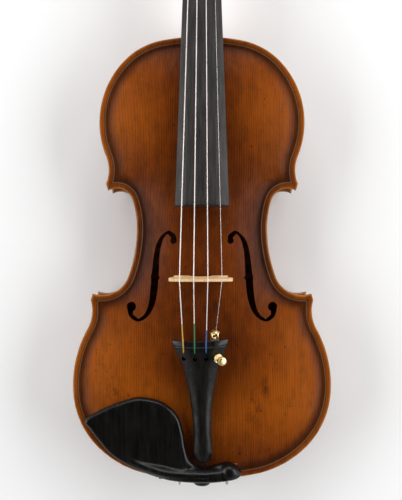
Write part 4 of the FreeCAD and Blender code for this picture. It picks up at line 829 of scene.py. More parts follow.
# Each station of the neck: the upper line's (y, z) beyond the body, the lower line's, and half the width.
NECK_STATIONS = ((-5.0, 15.0, 10.8, 15.0, 10.5), (-5.0, 24.0, 12.0, 22.0, 11.5),
                 (-5.0, 34.0, 14.0, 28.6, 12.8), (-5.0, 45.0, 17.6, 34.0, 14.4),
                 (-5.0, 56.3, 23.2, 37.9, 15.9), (9.0, 55.0, 32.0, 39.0, 15.9),
                 (24.0, 53.35, 42.0, 38.1, 15.6), (42.0, 51.36, 52.0, 37.2, 15.1),
                 (62.0, 49.16, 66.0, 35.9, 14.5), (85.0, 46.62, 86.0, 34.0, 13.7),
                 (110.0, 43.86, 110.0, 31.6, 12.8), (130.0, 41.65, 129.2, 29.5, 12.1),
                 (135.4, 41.05, 134.2, 28.9, 12.0))


def carried(points, matrix):
    """Points in a frame moved into the violin's own."""
    turn = np.array(matrix.to_3x3())
    return np.asarray(points, float) @ turn.T + np.array(matrix.translation)


def neck_skin():
    """The neck: rings from an upper line to a lower one, each (cos t, sin t) drawn out to a fuller curve."""
    line = smooth_curve(NECK_STATIONS, 90)
    turn = np.linspace(0, math.pi, 41)
    across = np.sign(np.cos(turn)) * np.abs(np.cos(turn)) ** 0.8
    down = np.sin(turn) ** 0.8
    top = np.linspace(-1, 1, 9)[1:-1]
    across = np.concatenate([across, top])
    down = np.concatenate([down, np.zeros(7)])
    upper, lower, half = line[:, None, :2], line[:, None, 2:4], line[:, None, 4]
    middle = upper + (lower - upper) * down[None, :, None]
    return np.stack([half * across[None, :], middle[:, :, 0] + Y_TOP, middle[:, :, 1]], axis=2)


neck = skin("neck_shaft", neck_skin(), 50)
neck_wood, tree, shader = new_material("neck_wood", 0.42, 0.15, 0.3)
place = in_millimetres(tree)
parts = node(tree, "ShaderNodeSeparateXYZ", {0: place})
grain = group_node(tree, grain_tree, {"Vector": place, "Spacing": 2.0})
curl = group_node(tree, curl_tree, {"Vector": place, "Spacing": 6.5})
age = group_node(tree, age_tree, {"Vector": place, "Patch size": 40.0})
colour = mix_colour(tree, curl.outputs["Stripes"], (0.36, 0.16, 0.05, 1), (0.52, 0.27, 0.10, 1))
shade = math_node(tree, "MULTIPLY", remap(tree, age.outputs["Blotches"], 0.3, 0.7, 1.1, 0.8),
                  remap(tree, grain.outputs["Fibres"], 0.3, 0.7, 0.9, 1.08))
scaled = shaded(tree, colour, shade)
heel = remap(tree, parts.outputs[1], 98.0, 86.0)
tree.links.new(mix_colour(tree, heel, scaled, RED_BROWN), shader.inputs["Base Color"])
tree.links.new(remap(tree, age.outputs["Blotches"], 0.3, 0.7, 0.34, 0.5), shader.inputs["Roughness"])
add_bump(tree, shader, grain.outputs["Fibres"], 0.15, 0.0001)
finish_with(neck, neck_wood)
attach(neck, "violin")
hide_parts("neck")


# ---------------------------------------------------------------- fingerboard, nut and saddle
# Three pieces of ebony. The board is glued on the neck and stands free over the belly, and its surface is
# rubbed dull under the strings. The nut and the saddle carry the strings and the tail gut.


def crowned(half, edge, crown, softness=0.5, base=0.0, count=24):
    """A section (x, z): flat below, upright sides, softened corners, and an arc of height crown above."""
    radius = (half**2 + crown**2) / (2 * crown)
    x = np.linspace(half - softness, -half + softness, count)
    top = edge + crown - radius + np.sqrt(radius**2 - x**2)
    right = [(half - 0.15, base), (half, base + 0.15), (half, edge - softness * 0.8),
             (half - softness * 0.3, edge)]
    left = [(-px, pz) for px, pz in right[::-1]]
    return np.array(right + list(zip(x, top)) + left)


def lofted(sections, ys):
    """Rings from sections (x, z) at places y."""
    return np.stack([np.column_stack([part[:, 0], np.full(len(part), y), part[:, 1]])
                     for part, y in zip(sections, ys)])


def sagitta(half, radius):
    """How far an arc rises over half a chord."""
    return radius - math.sqrt(radius**2 - half**2)


def board_rings():
    """The fingerboard: a crowned section that widens from 24 to 42 mm, with its end edges softened."""
    ys = np.array([0.0, -0.3, *np.linspace(-4, -266, 30), -269.2, -269.8, -270.0])
    shrink = np.array([0.3, 0.0, *np.zeros(30), 0.0, 0.25, 0.7])
    sections = []
    for y, less in zip(ys, shrink):
        half = 12.0 + 9.0 * (-y / 270.0)
        sections.append(crowned(half - less, 5.0 - less, sagitta(half - less, 42.0), 0.5, less * 0.5))
    return lofted(sections, ys)


fingerboard = skin("ebony_fingerboard", carried(board_rings(), NECK), 35)


def nut_rings():
    """The nut: the board's section standing 0.7 mm proud, rounded down towards the head."""
    ys = np.array([0.0, 0.3, 1.2, 2.4, 3.6, 4.6, 5.2, 5.5])
    lift = np.array([0.1, 0.55, 0.72, 0.72, 0.6, 0.2, -0.5, -1.3])
    return lofted([crowned(12.0, 5.0 + rise, sagitta(12.0, 42.0), 0.5) for rise in lift], ys)


nut = skin("ebony_nut", carried(nut_rings(), NECK), 50)


def saddle_rings():
    """The saddle: a rounded bar let into the belly's edge, its ends sloping down to the varnish."""
    x = np.array([-17.0, -16.7, -15.5, -13.0, -9.0, -5.0, 0.0, 5.0, 9.0, 13.0, 15.5, 16.7, 17.0])
    height = np.array([4.6, 5.2, 6.0, 7.0, 8.1, 8.5, 8.6, 8.5, 8.1, 7.0, 6.0, 5.2, 4.6])
    side = [(0.3, 0.0), (0.3, 0.78), (0.9, 0.93), (2.2, 0.99), (4.0, 1.0), (5.6, 0.95), (7.2, 0.8),
            (8.0, 0.6), (8.0, 0.0)]
    rings = []
    for px, rise in zip(x, height):
        rings.append([(px, TAIL_Y + v, BELLY_JOINT_Z + rise * share) for v, share in side])
    return np.array(rings)


saddle = skin("ebony_saddle", saddle_rings(), 45)


def ebony(name, shine, grey):
    """Black wood: fine pores along the grain, faint brown streaks, and a handled surface."""
    material, tree, shader = new_material(name, shine)
    shader.inputs["Specular IOR Level"].default_value = 0.3
    place = in_millimetres(tree)
    pores = noise(tree, stretched(tree, place, (4.0, 0.25, 2.0)), 1.0, 3.0, 0.7)
    streaks = noise(tree, stretched(tree, place, (0.5, 0.02, 0.3)), 1.0, 3.0)
    age = group_node(tree, age_tree, {"Vector": place, "Patch size": 25.0})
    dark, light = (grey * 0.7, grey * 0.62, grey * 0.58, 1), (grey * 1.5, grey * 1.35, grey * 1.25, 1)
    colour = mix_colour(tree, remap(tree, streaks, 0.35, 0.7), dark, light)
    tree.links.new(mix_colour(tree, math_node(tree, "MULTIPLY", remap(tree, pores, 0.6, 0.75), 0.5), colour,
                              (0.003, 0.003, 0.003, 1)), shader.inputs["Base Color"])
    tree.links.new(remap(tree, age.outputs["Blotches"], 0.3, 0.7, shine - 0.06, shine + 0.10),
                   shader.inputs["Roughness"])
    add_bump(tree, shader, pores, 0.10, 0.0001)
    return material


board_ebony = ebony("board_ebony", 0.44, 0.026)
polished_ebony = ebony("polished_ebony", 0.20, 0.008)
for made, name in ((fingerboard, "fingerboard"), (nut, "nut"), (saddle, "saddle")):
    finish_with(made, board_ebony if made is fingerboard else polished_ebony)
    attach(made, "violin")
    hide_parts(name)


# ---------------------------------------------------------------- tailpiece and its fret
# A wedge of ebony with a crowned top, hollow below at the wide end, hung from the end button and held up
# by the strings. Four holes take the strings, which lean on a low fret let in near the wide end.

TAIL = Matrix.Translation((0.8, TAIL_Y + 16.5, 58.4)) @ Matrix.Rotation(math.radians(1.3), 4, "Z")
TAIL = TAIL @ Matrix.Rotation(math.radians(8.0), 4, "X")
# Each station along the tailpiece: y, half the width, height of the side, and height of the crown above it.
TAIL_STATIONS = np.array([
    (0.4, 4.0, 2.0, 1.6), (2.6, 6.6, 2.6, 3.0), (8.9, 7.8, 3.0, 3.4), (24.5, 7.0, 3.2, 3.6),
    (40.1, 7.6, 3.2, 3.6), (56.7, 9.4, 3.2, 3.8), (68.1, 11.5, 3.2, 4.2), (78.5, 13.7, 3.2, 4.8),
    (90.0, 18.4, 3.2, 5.2), (95.9, 21.0, 3.0, 5.6), (100.0, 22.4, 2.6, 5.6),
])
HOLE_Y, FRET_Y, HOLE_GAP = 86.0, 95.0, 8.7


def tail_surface(x, y):
    """Height of the tailpiece's crowned top in its own frame."""
    half, edge, crown = (np.interp(y, TAIL_STATIONS[:, 0], TAIL_STATIONS[:, k]) for k in (1, 2, 3))
    radius = (half**2 + crown**2) / (2 * crown)
    return edge + crown - radius + math.sqrt(radius**2 - x**2)


def tailpiece_rings():
    """The outside, closed underneath, from the rounded tail end to the wide end with its edge eased."""
    ys = np.concatenate([[0.4, 0.7, 1.4], np.linspace(2.6, 98.8, 64), [99.5, 99.9, 100.0]])
    less = np.concatenate([[0.9, 0.3, 0.0], np.zeros(64), [0.12, 0.4, 0.8]])
    sections = []
    for y, cut in zip(ys, less):
        half, edge, crown = (float(np.interp(y, TAIL_STATIONS[:, 0], TAIL_STATIONS[:, k])) for k in (1, 2, 3))
        sections.append(crowned(half - cut, edge - cut * 0.6, crown - cut * 0.4, 0.9, cut * 0.5, 30))
    return lofted(sections, ys)


def cut_from(made, cutters):
    """Takes cutters away from a piece with exact booleans, and removes them."""
    for cutter in cutters:
        step = made.modifiers.new("cut", "BOOLEAN")
        step.operation, step.solver, step.object = "DIFFERENCE", "EXACT", cutter
    bpy.context.view_layer.update()
    graph = bpy.context.evaluated_depsgraph_get()
    cut = bpy.data.meshes.new_from_object(made.evaluated_get(graph))
    made.modifiers.clear()
    made.data = cut
    for cutter in cutters:
        bpy.data.objects.remove(cutter)
    return weld(made, 0.000002)


def lathe(name, profile, matrix=None, count=48, smooth_angle=40.0):
    """A solid of revolution about Z from (radius, height) pairs, closed at its ends, in a given frame."""
    profile = np.asarray(profile, float)
    turn = np.linspace(0, math.tau, count, endpoint=False)
    rings = np.stack([profile[:, :1] * np.cos(turn), profile[:, :1] * np.sin(turn),
                      np.repeat(profile[:, 1:], count, axis=1)], axis=2)
    return skin(name, carried(rings, matrix or Matrix.Identity(4)), smooth_angle)


tailpiece = skin("ebony_tailpiece", carried(tailpiece_rings(), TAIL), 35)
inside_ys = np.array([90.6, 92.0, 96.0, 104.0])
hollow_sections = []
for y, half in zip(inside_ys, (15.6, 16.4, 18.2, 20.4)):
    crown = float(np.interp(y, TAIL_STATIONS[:, 0], TAIL_STATIONS[:, 3]))
    hollow_sections.append(crowned(half, 0.9, crown - 0.3, 0.8, -2.0, 20))
cutters = [skin("hollow", carried(lofted(hollow_sections, inside_ys), TAIL))]
for index in range(4):
    x = (index - 1.5) * HOLE_GAP
    hole_top = TAIL @ Matrix.Translation((x, HOLE_Y, tail_surface(x, HOLE_Y)))
    radius = 1.75
    if index == 3:
        hole_top = hole_top @ Matrix.Rotation(math.radians(19.0), 4, "Y")
        radius = 2.65
    cutters.append(lathe("bore", [(radius * 0.8, -6.2), (radius, -5.8), (radius, 6.0)], hole_top, 32))
    if index < 3:
        slot_rings = [[(-0.5, y, z), (0.5, y, z), (0.5, y, z + 12), (-0.5, y, z + 12)]
                      for y, z in ((0.0, -5.0), (5.6, -5.0))]
        cutters.append(skin("slot", carried(slot_rings, hole_top)))
cut_from(tailpiece, cutters)
tailpiece.data.set_sharp_from_angle(angle=math.radians(35))


def fret_rings():
    """The fret: a low rounded ridge across the crown."""
    ys = np.array([-0.85, -0.8, -0.45, 0.0, 0.45, 0.8, 0.85]) + FRET_Y
    rise = np.array([0.1, 0.6, 1.1, 1.25, 1.1, 0.6, 0.1])
    x = np.linspace(-20.5, 20.5, 41)
    top = np.array([tail_surface(px, FRET_Y) for px in x])
    fade = np.clip((20.7 - np.abs(x)) / 1.6, 0, 1) ** 0.5
    rings = []
    for y, lift in zip(ys, rise):
        upper = np.column_stack([x, np.full(41, y), top + lift * fade])
        lower = np.column_stack([x, np.full(41, y), top - 0.6])[::-1]
        rings.append(np.concatenate([upper, lower]))
    return np.array(rings)


fret = skin("tailpiece_ridge", carried(fret_rings(), TAIL), 60)
for made, name in ((tailpiece, "tailpiece"), (fret, "tailpiece_fret")):
    finish_with(made, polished_ebony)
    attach(made, "violin")
    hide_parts(name)


# ---------------------------------------------------------------- bridge
# A thin wedge of pale unvarnished maple that stands on the belly, held there only by the strings. It is
# cut with a heart, two wings and an arch between its feet, and its flecks lie across the face.

BRIDGE_RIGHT = ((8.6, 59.5), (9.0, 58.6), (20.6, 56.6), (21.4, 57.2), (21.2, 60.6), (19.4, 62.6),
                (16.0, 64.2), (13.6, 66.4), (13.4, 68.6), (14.9, 70.2), (14.6, 72.0), (13.0, 73.4),
                (13.6, 75.4), (16.0, 76.0), (18.0, 75.2), (18.4, 73.8), (20.0, 73.4), (23.0, 75.6),
                (24.6, 79.2), (24.0, 82.6), (22.2, 85.4), (21.0, 88.6))
BRIDGE_ARCH = ((8.6, 59.5), (7.4, 62.4), (4.4, 65.8), (0.0, 67.4))
BRIDGE_HEART = ((0.0, 76.0), (1.6, 77.6), (3.6, 79.6), (5.0, 81.8), (4.6, 84.0), (2.8, 84.8), (1.2, 84.0),
                (0.0, 82.0))
BRIDGE_Y = TAIL_Y + 162.0


def mirrored_loop(half):
    """A closed loop from its right half, whose two ends lie on the middle line."""
    half = np.asarray(half)
    return np.concatenate([half, half[1:-1][::-1] * (-1, 1)])


def bridge_mesh():
    """The bridge: flat faces that taper towards the top edge, softened walls, and the cut-outs."""
    crown_x = np.linspace(20.4, 0.0, 14)
    crown = np.column_stack([crown_x, 94.0 - 42.0 + np.sqrt(42.0**2 - crown_x**2)])
    arch_line = smooth_curve(BRIDGE_ARCH, 16)[::-1]
    outer = mirrored_loop(np.concatenate([arch_line[:-1], smooth_curve(BRIDGE_RIGHT, 110), crown]))
    heart = mirrored_loop(smooth_curve(BRIDGE_HEART, 30))[::-1]
    loops = [outer, heart]
    xs, zs = np.meshgrid(np.arange(-25, 25.1, 1.3), np.arange(57, 95, 1.3))
    grid = np.column_stack([xs.ravel(), zs.ravel()])
    keep = inside(grid, outer) & ~inside(grid, heart)
    keep &= (nearest(grid, outer) > 0.6) & (nearest(grid, heart) > 0.6)
    flat = np.concatenate(loops + [grid[keep]])
    edges, first = [], 0
    for loop in loops:
        index = np.arange(len(loop))
        edges += np.stack([first + index, first + (index + 1) % len(loop)], axis=1).tolist()
        first += len(loop)
    flat, _, faces, _, _, _ = delaunay_2d_cdt(flat.tolist(), edges, [], 1, 1e-5)
    flat = np.array([tuple(point) for point in flat])
    faces = np.array([tuple(face) for face in faces])
    middles = flat[faces].mean(axis=1)
    faces = faces[inside(middles, outer) & ~inside(middles, heart)]
    share = np.clip((flat[:, 1] - 58.0) / 36.0, 0, 1)
    half_front = 2.15 - 1.45 * share**1.3
    eased = np.zeros(len(flat))
    eased[:len(outer) + len(heart)] = 0.28
    foot = np.clip(1 - (flat[:, 1] - 57.0) / 8.0, 0, 1) * 0.35
    front = np.column_stack([flat[:, 0], half_front + foot - eased, flat[:, 1]])
    rear = np.column_stack([flat[:, 0], -2.15 + 0.75 * share - foot + eased, flat[:, 1]])
    count = len(flat)
    walls, first = [], 0
    for loop in loops:
        index = first + np.arange(len(loop))
        after = first + (np.arange(len(loop)) + 1) % len(loop)
        walls.append(np.stack([index, index + count, after + count, after], axis=1))
        first += len(loop)
    points = np.concatenate([front, rear])
    ground = arch(points[:, :2] * (1, 0) + (-1.0, BRIDGE_Y))
    low = points[:, 2] < 61.0
    lift = np.clip((61.0 - points[:, 2]) / 4.0, 0, 1)
    points[low, 2] += (lift * (ground - 57.2))[low]
    all_faces = faces.tolist() + (faces[:, ::-1] + count).tolist() + np.concatenate(walls).tolist()
    return weld(make_mesh("maple_bridge", points + (-1.0, BRIDGE_Y, 0.0), all_faces, 30))


bridge = bridge_mesh()
bridge_wood, tree, shader = new_material("bridge_wood", 0.5, 0.05, 0.3)
place = in_millimetres(tree)
flecks = noise(tree, stretched(tree, place, (0.5, 1.0, 3.2)), 1.0, 3.0, 0.6)
grain = group_node(tree, grain_tree, {"Vector": stretched(tree, place, (1.0, 1.0, 1.0)), "Spacing": 0.9})
colour = mix_colour(tree, remap(tree, flecks, 0.5, 0.72), (0.80, 0.55, 0.29, 1), (0.50, 0.26, 0.10, 1))
shade = remap(tree, grain.outputs["Fibres"], 0.3, 0.7, 0.92, 1.06)
tree.links.new(shaded(tree, colour, shade),
               shader.inputs["Base Color"])
add_bump(tree, shader, flecks, 0.15, 0.0001)
finish_with(bridge, bridge_wood)
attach(bridge, "violin")
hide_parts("bridge")


# ---------------------------------------------------------------- strings, silks and windings
# Four strings, three of them a core wound with flat pale wire, the E a plain steel wire. Each runs from
# its peg over the nut and the bridge; silk thread covers the tail ends of the wound ones.

HEAD = Matrix.Translation((0.0, 200.167, 41.045)) @ Matrix.Rotation(math.radians(-12.0), 4, "X")
PEG_PLACES = {"g": (15.5, -1), "e": (30.0, 1), "d": (44.5, -1), "a": (58.5, 1)}
STRING_SIZES = {"g": 0.82, "d": 0.78, "a": 0.70, "e": 0.40}
PEG_AXIS_T = -8.4
WINDING_RADIUS = 4.05
TUNER = TAIL @ Matrix.Translation((1.5 * HOLE_GAP, HOLE_Y, tail_surface(1.5 * HOLE_GAP, HOLE_Y)))
TUNER = TUNER @ Matrix.Rotation(math.radians(19.0), 4, "Y")


def tube(name, path, radius, sides=16, smooth_angle=50.0):
    """A round cord along a path. Each ring's frame is the last one, turned as little as the bend allows."""
    path = np.asarray(path, float)
    way = np.gradient(path, axis=0)
    way /= np.linalg.norm(way, axis=1)[:, None]
    side = np.cross(way[0], (0.0, 0.0, 1.0) if abs(way[0][2]) < 0.9 else (1.0, 0.0, 0.0))
    sides_along = []
    for forward in way:
        side = side - forward * (side @ forward)
        side /= np.linalg.norm(side)
        sides_along.append(side)
    across = np.array(sides_along)
    up = np.cross(way, across)
    turn = np.linspace(0, math.tau, sides, endpoint=False)[None, :, None]
    radius = np.broadcast_to(radius, len(path))[:, None, None]
    rings = path[:, None] + radius * (np.cos(turn) * across[:, None] + np.sin(turn) * up[:, None])
    return skin(name, rings, smooth_angle)


def string_points(index):
    """Where a string crosses the nut, the bridge and the fret, and its hole in the tailpiece."""
    x = (index - 1.5) * 5.5
    on_nut = carried((x, 2.75, 7.45 - sagitta(x, 42.0) + 0.1), NECK)
    x = (index - 1.5) * 10.7
    on_bridge = np.array([x - 1.0, BRIDGE_Y, 94.1 - sagitta(x, 42.0)])
    x = (index - 1.5) * HOLE_GAP
    on_fret = carried((x, FRET_Y, tail_surface(x, FRET_Y) + 1.6), TAIL)
    in_hole = carried((x, HOLE_Y, tail_surface(x, HOLE_Y) - 4.0), TAIL)
    return on_nut, on_bridge, on_fret, in_hole


def spaced(points, step):
    """A polyline with points added so that none are further apart than step."""
    points = np.asarray(points, float)
    parts = []
    for start, end in zip(points[:-1], points[1:]):
        count = max(1, int(np.linalg.norm(end - start) / step))
        parts.append(start + np.linspace(0, 1, count, endpoint=False)[:, None] * (end - start))
    return np.concatenate(parts + [points[-1:]])


def wrap_reach(s):
    """How far from the middle the turns of string lie on their peg, near the cheek by the peg's head."""
    return 7.55 - 2.3 * (s + 4.5) / 68.0 - 2.4


string_wire, tree, shader = new_material("wound_wire", 0.34, metallic=0.85)
place = in_millimetres(tree)
parts = node(tree, "ShaderNodeSeparateXYZ", {0: place})
wave = math_node(tree, "SINE", math_node(tree, "MULTIPLY", parts.outputs[1], 22.0))
smudge = noise(tree, place, 0.12, 3.0)
tree.links.new(mix_colour(tree, smudge, (0.72, 0.62, 0.57, 1), (0.92, 0.86, 0.82, 1)),
               shader.inputs["Base Color"])
tree.links.new(remap(tree, smudge, 0.3, 0.7, 0.26, 0.44), shader.inputs["Roughness"])
add_bump(tree, shader, wave, 0.25, 0.00003)

steel_wire, tree, shader = new_material("plain_steel", 0.22, metallic=1.0)
smudge = noise(tree, in_millimetres(tree), 0.15, 3.0)
tree.links.new(mix_colour(tree, smudge, (0.46, 0.43, 0.42, 1), (0.70, 0.67, 0.65, 1)),
               shader.inputs["Base Color"])
tree.links.new(remap(tree, smudge, 0.3, 0.7, 0.16, 0.34), shader.inputs["Roughness"])


def silk_with_painted_light(name, colour):
    """Silk thread wound side by side: painted highlight on each turn's crown, painted shade between."""
    material, tree, shader = new_material(name, 0.6)
    parts = node(tree, "ShaderNodeSeparateXYZ", {0: in_millimetres(tree)})
    wave = math_node(tree, "SINE", math_node(tree, "MULTIPLY", parts.outputs[1], 14.0))
    # Painted shade between the turns, at 0.45 of the silk's colour, and a painted highlight at full colour on
    # each crown.
    dark = tuple(0.45 * part for part in colour) + (1,)
    tree.links.new(mix_colour(tree, math_node(tree, "MULTIPLY_ADD", wave, 0.5, 0.5), dark, (*colour, 1)),
                   shader.inputs["Base Color"])
    add_bump(tree, shader, wave, 0.4, 0.00005)
    return material


SILK_STARTS = {"g": 0.64, "d": 0.63, "a": 0.73}
SILKS = {"g": ("silk_yellow", (0.72, 0.42, 0.06)), "d": ("silk_green", (0.03, 0.22, 0.08)),
         "a": ("silk_blue", (0.05, 0.14, 0.42))}

for index, name in enumerate("gdae"):
    s, sign = PEG_PLACES[name]
    radius = STRING_SIZES[name] / 2
    on_nut, on_bridge, on_fret, in_hole = string_points(index)
    lift = PEG_AXIS_T + WINDING_RADIUS + radius
    wound = carried((sign * wrap_reach(s), s - 1.0, lift), HEAD)
    if name == "e":
        hook = carried((-1.5, 20.2, 1.6), TUNER)
        end = hook + (on_bridge - hook) / np.linalg.norm(on_bridge - hook) * 1.2
    else:
        end = on_bridge + (on_fret - on_bridge) * SILK_STARTS[name]
    line = spaced([wound, on_nut, on_bridge, end], 6.0)
    made = finish_with(tube(f"string_wire_{name}", line, radius), steel_wire if name == "e" else string_wire)
    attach(made, "violin")
    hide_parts(f"string_{name}")
    if name in SILKS:
        bend = smooth_curve([end, end + (on_fret - end) * 0.5, on_fret, in_hole], 40)
        label, tint = SILKS[name]
        silk = finish_with(tube(f"thread_{name}", bend, radius + 0.12),
                           silk_with_painted_light(label + "_thread", tint))
        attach(silk, "violin")
        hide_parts(f"silk_{name}")
    turn = np.linspace(0, 5 * math.tau, 150)
    middle, reach = HEAD @ Matrix.Translation((0.0, s, PEG_AXIS_T)), wrap_reach(s)
    coil = np.column_stack([sign * (reach - 1.8 + 3.6 * turn / turn[-1]), -WINDING_RADIUS * np.sin(turn),
                            WINDING_RADIUS * np.cos(turn)])
    wrap = finish_with(tube(f"turns_{name}", carried(coil, middle), min(radius, 0.40), 10),
                       steel_wire if name == "e" else string_wire)
    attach(wrap, f"peg_{name}")
    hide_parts(f"winding_{name}")


# ---------------------------------------------------------------- chin rest
# Carved ebony beside the tailpiece: a hollowed cup for the jaw, a raised bead along the tail edge that
# ends in a knob, and an arm over the tail gut. Two cork-lined feet stand on the belly's edge.

REST_OUTLINE = ((-91.4, 51.3), (-76.5, 60.2), (-57.8, 67.0), (-46.9, 68.5), (-31.1, 64.7), (-19.2, 54.3),
                (-14.7, 41.0), (-12.9, 30.0), (-10.0, 20.5), (-4.0, 15.0), (4.0, 13.6), (13.5, 16.4),
                (21.0, 17.6), (28.0, 14.2), (31.0, 9.6), (27.0, 5.6), (13.5, 3.2), (0.7, 2.6), (-11.2, 3.0),
                (-25.1, 4.4), (-39.0, 7.8), (-50.9, 12.3), (-62.7, 18.2), (-72.6, 25.1), (-80.5, 34.0),
                (-87.5, 43.5))
REST_BEAD = ((-66.0, 26.0), (-52.0, 17.5), (-38.0, 12.6), (-25.0, 9.6), (-11.0, 8.6), (0.0, 8.4), (12.0, 8.8),
             (18.0, 9.6))


def rest_line():
    """The chin rest's outline as an even closed line."""
    corners = np.array(REST_OUTLINE)
    wrapped = np.concatenate([corners[-3:], corners, corners[:3]])
    line = smooth_curve(wrapped, (len(wrapped) - 1) * 10 + 1)[30:30 + len(corners) * 10]
    return (line + (0, TAIL_Y))[::-1]


def away_from(points, line):
    """Distance from each point to an open polyline, and how far along it the nearest place is, 0 to 1."""
    start, way = line[:-1], np.diff(line, axis=0)
    part = points[:, None, :] - start
    share = np.clip((part * way).sum(axis=2) / (way**2).sum(axis=1), 0, 1)
    gap = np.linalg.norm(part - share[:, :, None] * way, axis=2)
    index = gap.argmin(axis=1)
    rows = np.arange(len(points))
    return gap[rows, index], (index + share[rows, index]) / len(way)


def softmax(first, second, softness):
    """The larger of two heights with the crease between them rounded off."""
    gap = first - second
    return (first + second + np.sqrt(gap**2 + softness**2)) / 2


def rest_top(points, rim):
    """The rest's upper surface: a plate hollowed by an ellipsoid, with a bead, a knob and a rounded rim."""
    x, y = points[:, 0], points[:, 1] - TAIL_Y
    cos, sin = math.cos(math.radians(24)), math.sin(math.radians(24))
    across, up = x + 46.0, y - 47.0
    first, second = across * cos - up * sin, across * sin + up * cos
    hollow = 79.0 - 16.0 * np.sqrt(np.clip(1 - (first / 62.0) ** 2 - (second / 46.0) ** 2, 0, 1))
    plate = 71.4 - 5.2 / (1 + np.exp(-(x + 15.0) / 2.2)) * np.clip((y - 5.0) / 6.0, 0, 1)
    height = -softmax(-plate, -hollow, 1.6)
    bead_line = smooth_curve(REST_BEAD, 60) + (0, TAIL_Y)
    gap, share = away_from(points, bead_line)
    start = np.clip(share / 0.35, 0, 1)
    bead = 66.0 + (5.6 * start - 1.2 * np.clip((share - 0.75) / 0.25, 0, 1)) - gap**2 / 5.2
    height = softmax(height, bead, 0.8)
    knob = 66.6 + 5.2 * np.sqrt(np.clip(1 - ((x - 21.8) ** 2 + (y - 10.4) ** 2) / 7.4**2, 0, 1))
    height = softmax(height, knob, 0.6)
    ease = np.clip(1 - rim / 3.4, 0, 1)
    return height - 3.6 * (1 - np.sqrt(1 - np.clip(ease, 0, 0.999) ** 2))


def rest_mesh():
    """The chin rest: top and underside over one triangulated outline, joined by a rounded wall."""
    line = rest_line()
    normals = outward(line)
    rings = []
    for distance in (0.35, 0.9, 1.6, 2.5, 3.6):
        ring = (line - distance * normals)
        rings.append(ring[nearest(ring, line) > distance - 0.05])
    xs, ys = np.meshgrid(np.arange(-95, 35, 1.15), np.arange(0, 75, 1.15) + TAIL_Y)
    grid = np.column_stack([xs.ravel(), ys.ravel()])
    grid = grid[inside(grid, line)]
    rings.append(grid[nearest(grid, line) > 4.2])
    flat = np.concatenate([line] + rings)
    index = np.arange(len(line))
    edges = np.stack([index, (index + 1) % len(line)], axis=1).tolist()
    flat, _, faces, _, _, _ = delaunay_2d_cdt(flat.tolist(), edges, [], 1, 1e-5)
    flat = np.array([tuple(point) for point in flat])
    faces = np.array([tuple(face) for face in faces])
    faces = faces[inside(flat[faces].mean(axis=1), line)]
    rim = nearest(flat, line)
    top = rest_top(flat, rim)
    under = np.maximum(60.5 + 2.5 * np.clip(rim / 6, 0, 1), arch(flat) + 2.0)
    under[~inside(flat, OUTLINE)] = 60.5
    under = np.minimum(under, top - 1.6)
    count = len(flat)
    walls = np.stack([index, index + count, (index + 1) % len(line) + count, (index + 1) % len(line)], axis=1)
    points = np.concatenate([np.column_stack([flat, top]), np.column_stack([flat, under])])
    return make_mesh("chin_rest", points, faces.tolist() + (faces[:, ::-1] + count).tolist() + walls.tolist())


def rounded_block(name, low, high, softness, matrix=None):
    """A box between two corners with its edges rounded by a bevel."""
    low, high = np.array(low, float), np.array(high, float)
    shape = bmesh.new()
    bmesh.ops.create_cube(shape, size=1.0)
    for point in shape.verts:
        point.co = [MM * (a + (b - a) * (c + 0.5)) for a, b, c in zip(low, high, point.co)]
    bmesh.ops.bevel(shape, geom=shape.edges[:], offset=softness * MM, segments=3, profile=0.5, affect="EDGES")
    mesh = bpy.data.meshes.new(name)
    shape.to_mesh(mesh)
    shape.free()
    made = bpy.data.objects.new(name, mesh)
    bpy.context.collection.objects.link(made)
    if matrix is not None:
        scaled = matrix.copy()
        scaled.translation = matrix.translation * MM
        mesh.transform(scaled)
    return weld(made, 0.000001)


rest_parts = [weld(rest_mesh())]
for start, end in ((-34.0, -17.6), (17.6, 28.0)):
    rest_parts.append(rounded_block("foot", (start, TAIL_Y + 4.5, 53.0), (end, TAIL_Y + 13.5, 64.0), 0.8))
for x in (-17.8, 19.8):
    rest_parts.append(rounded_block("lug", (x - 3.0, TAIL_Y + 2.8, 55.0), (x + 3.0, TAIL_Y + 10.8, 62.0),
                                    0.6))
chin_rest = joined("chin_rest", rest_parts)
rest_ebony = ebony("rest_ebony", 0.26, 0.004)
finish_with(chin_rest, rest_ebony)
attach(chin_rest, "violin")
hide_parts("chinrest")


# ---------------------------------------------------------------- cork pads and the chin rest's clamp
# Cork under the rest's feet and under the clamp foot keeps the metal and ebony off the varnish. Two
# plated barrels with opposite threads draw the posts and the foot together over the tail block.

cork, tree, shader = new_material("cork_pad", 0.85)
place = in_millimetres(tree)
cells = node(tree, "ShaderNodeTexVoronoi", {"Vector": place, "Scale": 1.3}).outputs["Distance"]
specks = noise(tree, place, 0.9, 3.0)
colour = mix_colour(tree, remap(tree, cells, 0.1, 0.6), (0.20, 0.10, 0.045, 1), (0.42, 0.25, 0.13, 1))
tree.links.new(mix_colour(tree, remap(tree, specks, 0.6, 0.7), colour, (0.07, 0.03, 0.015, 1)),
               shader.inputs["Base Color"])
add_bump(tree, shader, cells, 0.5, 0.0003)


def metal(name, colour, dull, roughness):
    """Plated metal: bright where it is rubbed, dull and a little brown where it is not."""
    material, tree, shader = new_material(name, roughness, metallic=1.0)
    age = group_node(tree, age_tree, {"Vector": in_millimetres(tree), "Patch size": 3.0})
    tree.links.new(mix_colour(tree, math_node(tree, "MULTIPLY", age.outputs["Worn"], 0.6), (*colour, 1),
                              (*dull, 1)),
                   shader.inputs["Base Color"])
    tree.links.new(remap(tree, age.outputs["Worn"], 0.0, 1.0, roughness, roughness + 0.16),
                   shader.inputs["Roughness"])
    add_bump(tree, shader, age.outputs["Blotches"], 0.05, 0.0001)
    return material


chrome = metal("plated_clamp", (0.72, 0.73, 0.75), (0.40, 0.39, 0.37), 0.16)
gold = metal("gold_plate", (0.96, 0.78, 0.42), (0.66, 0.44, 0.16), 0.22)

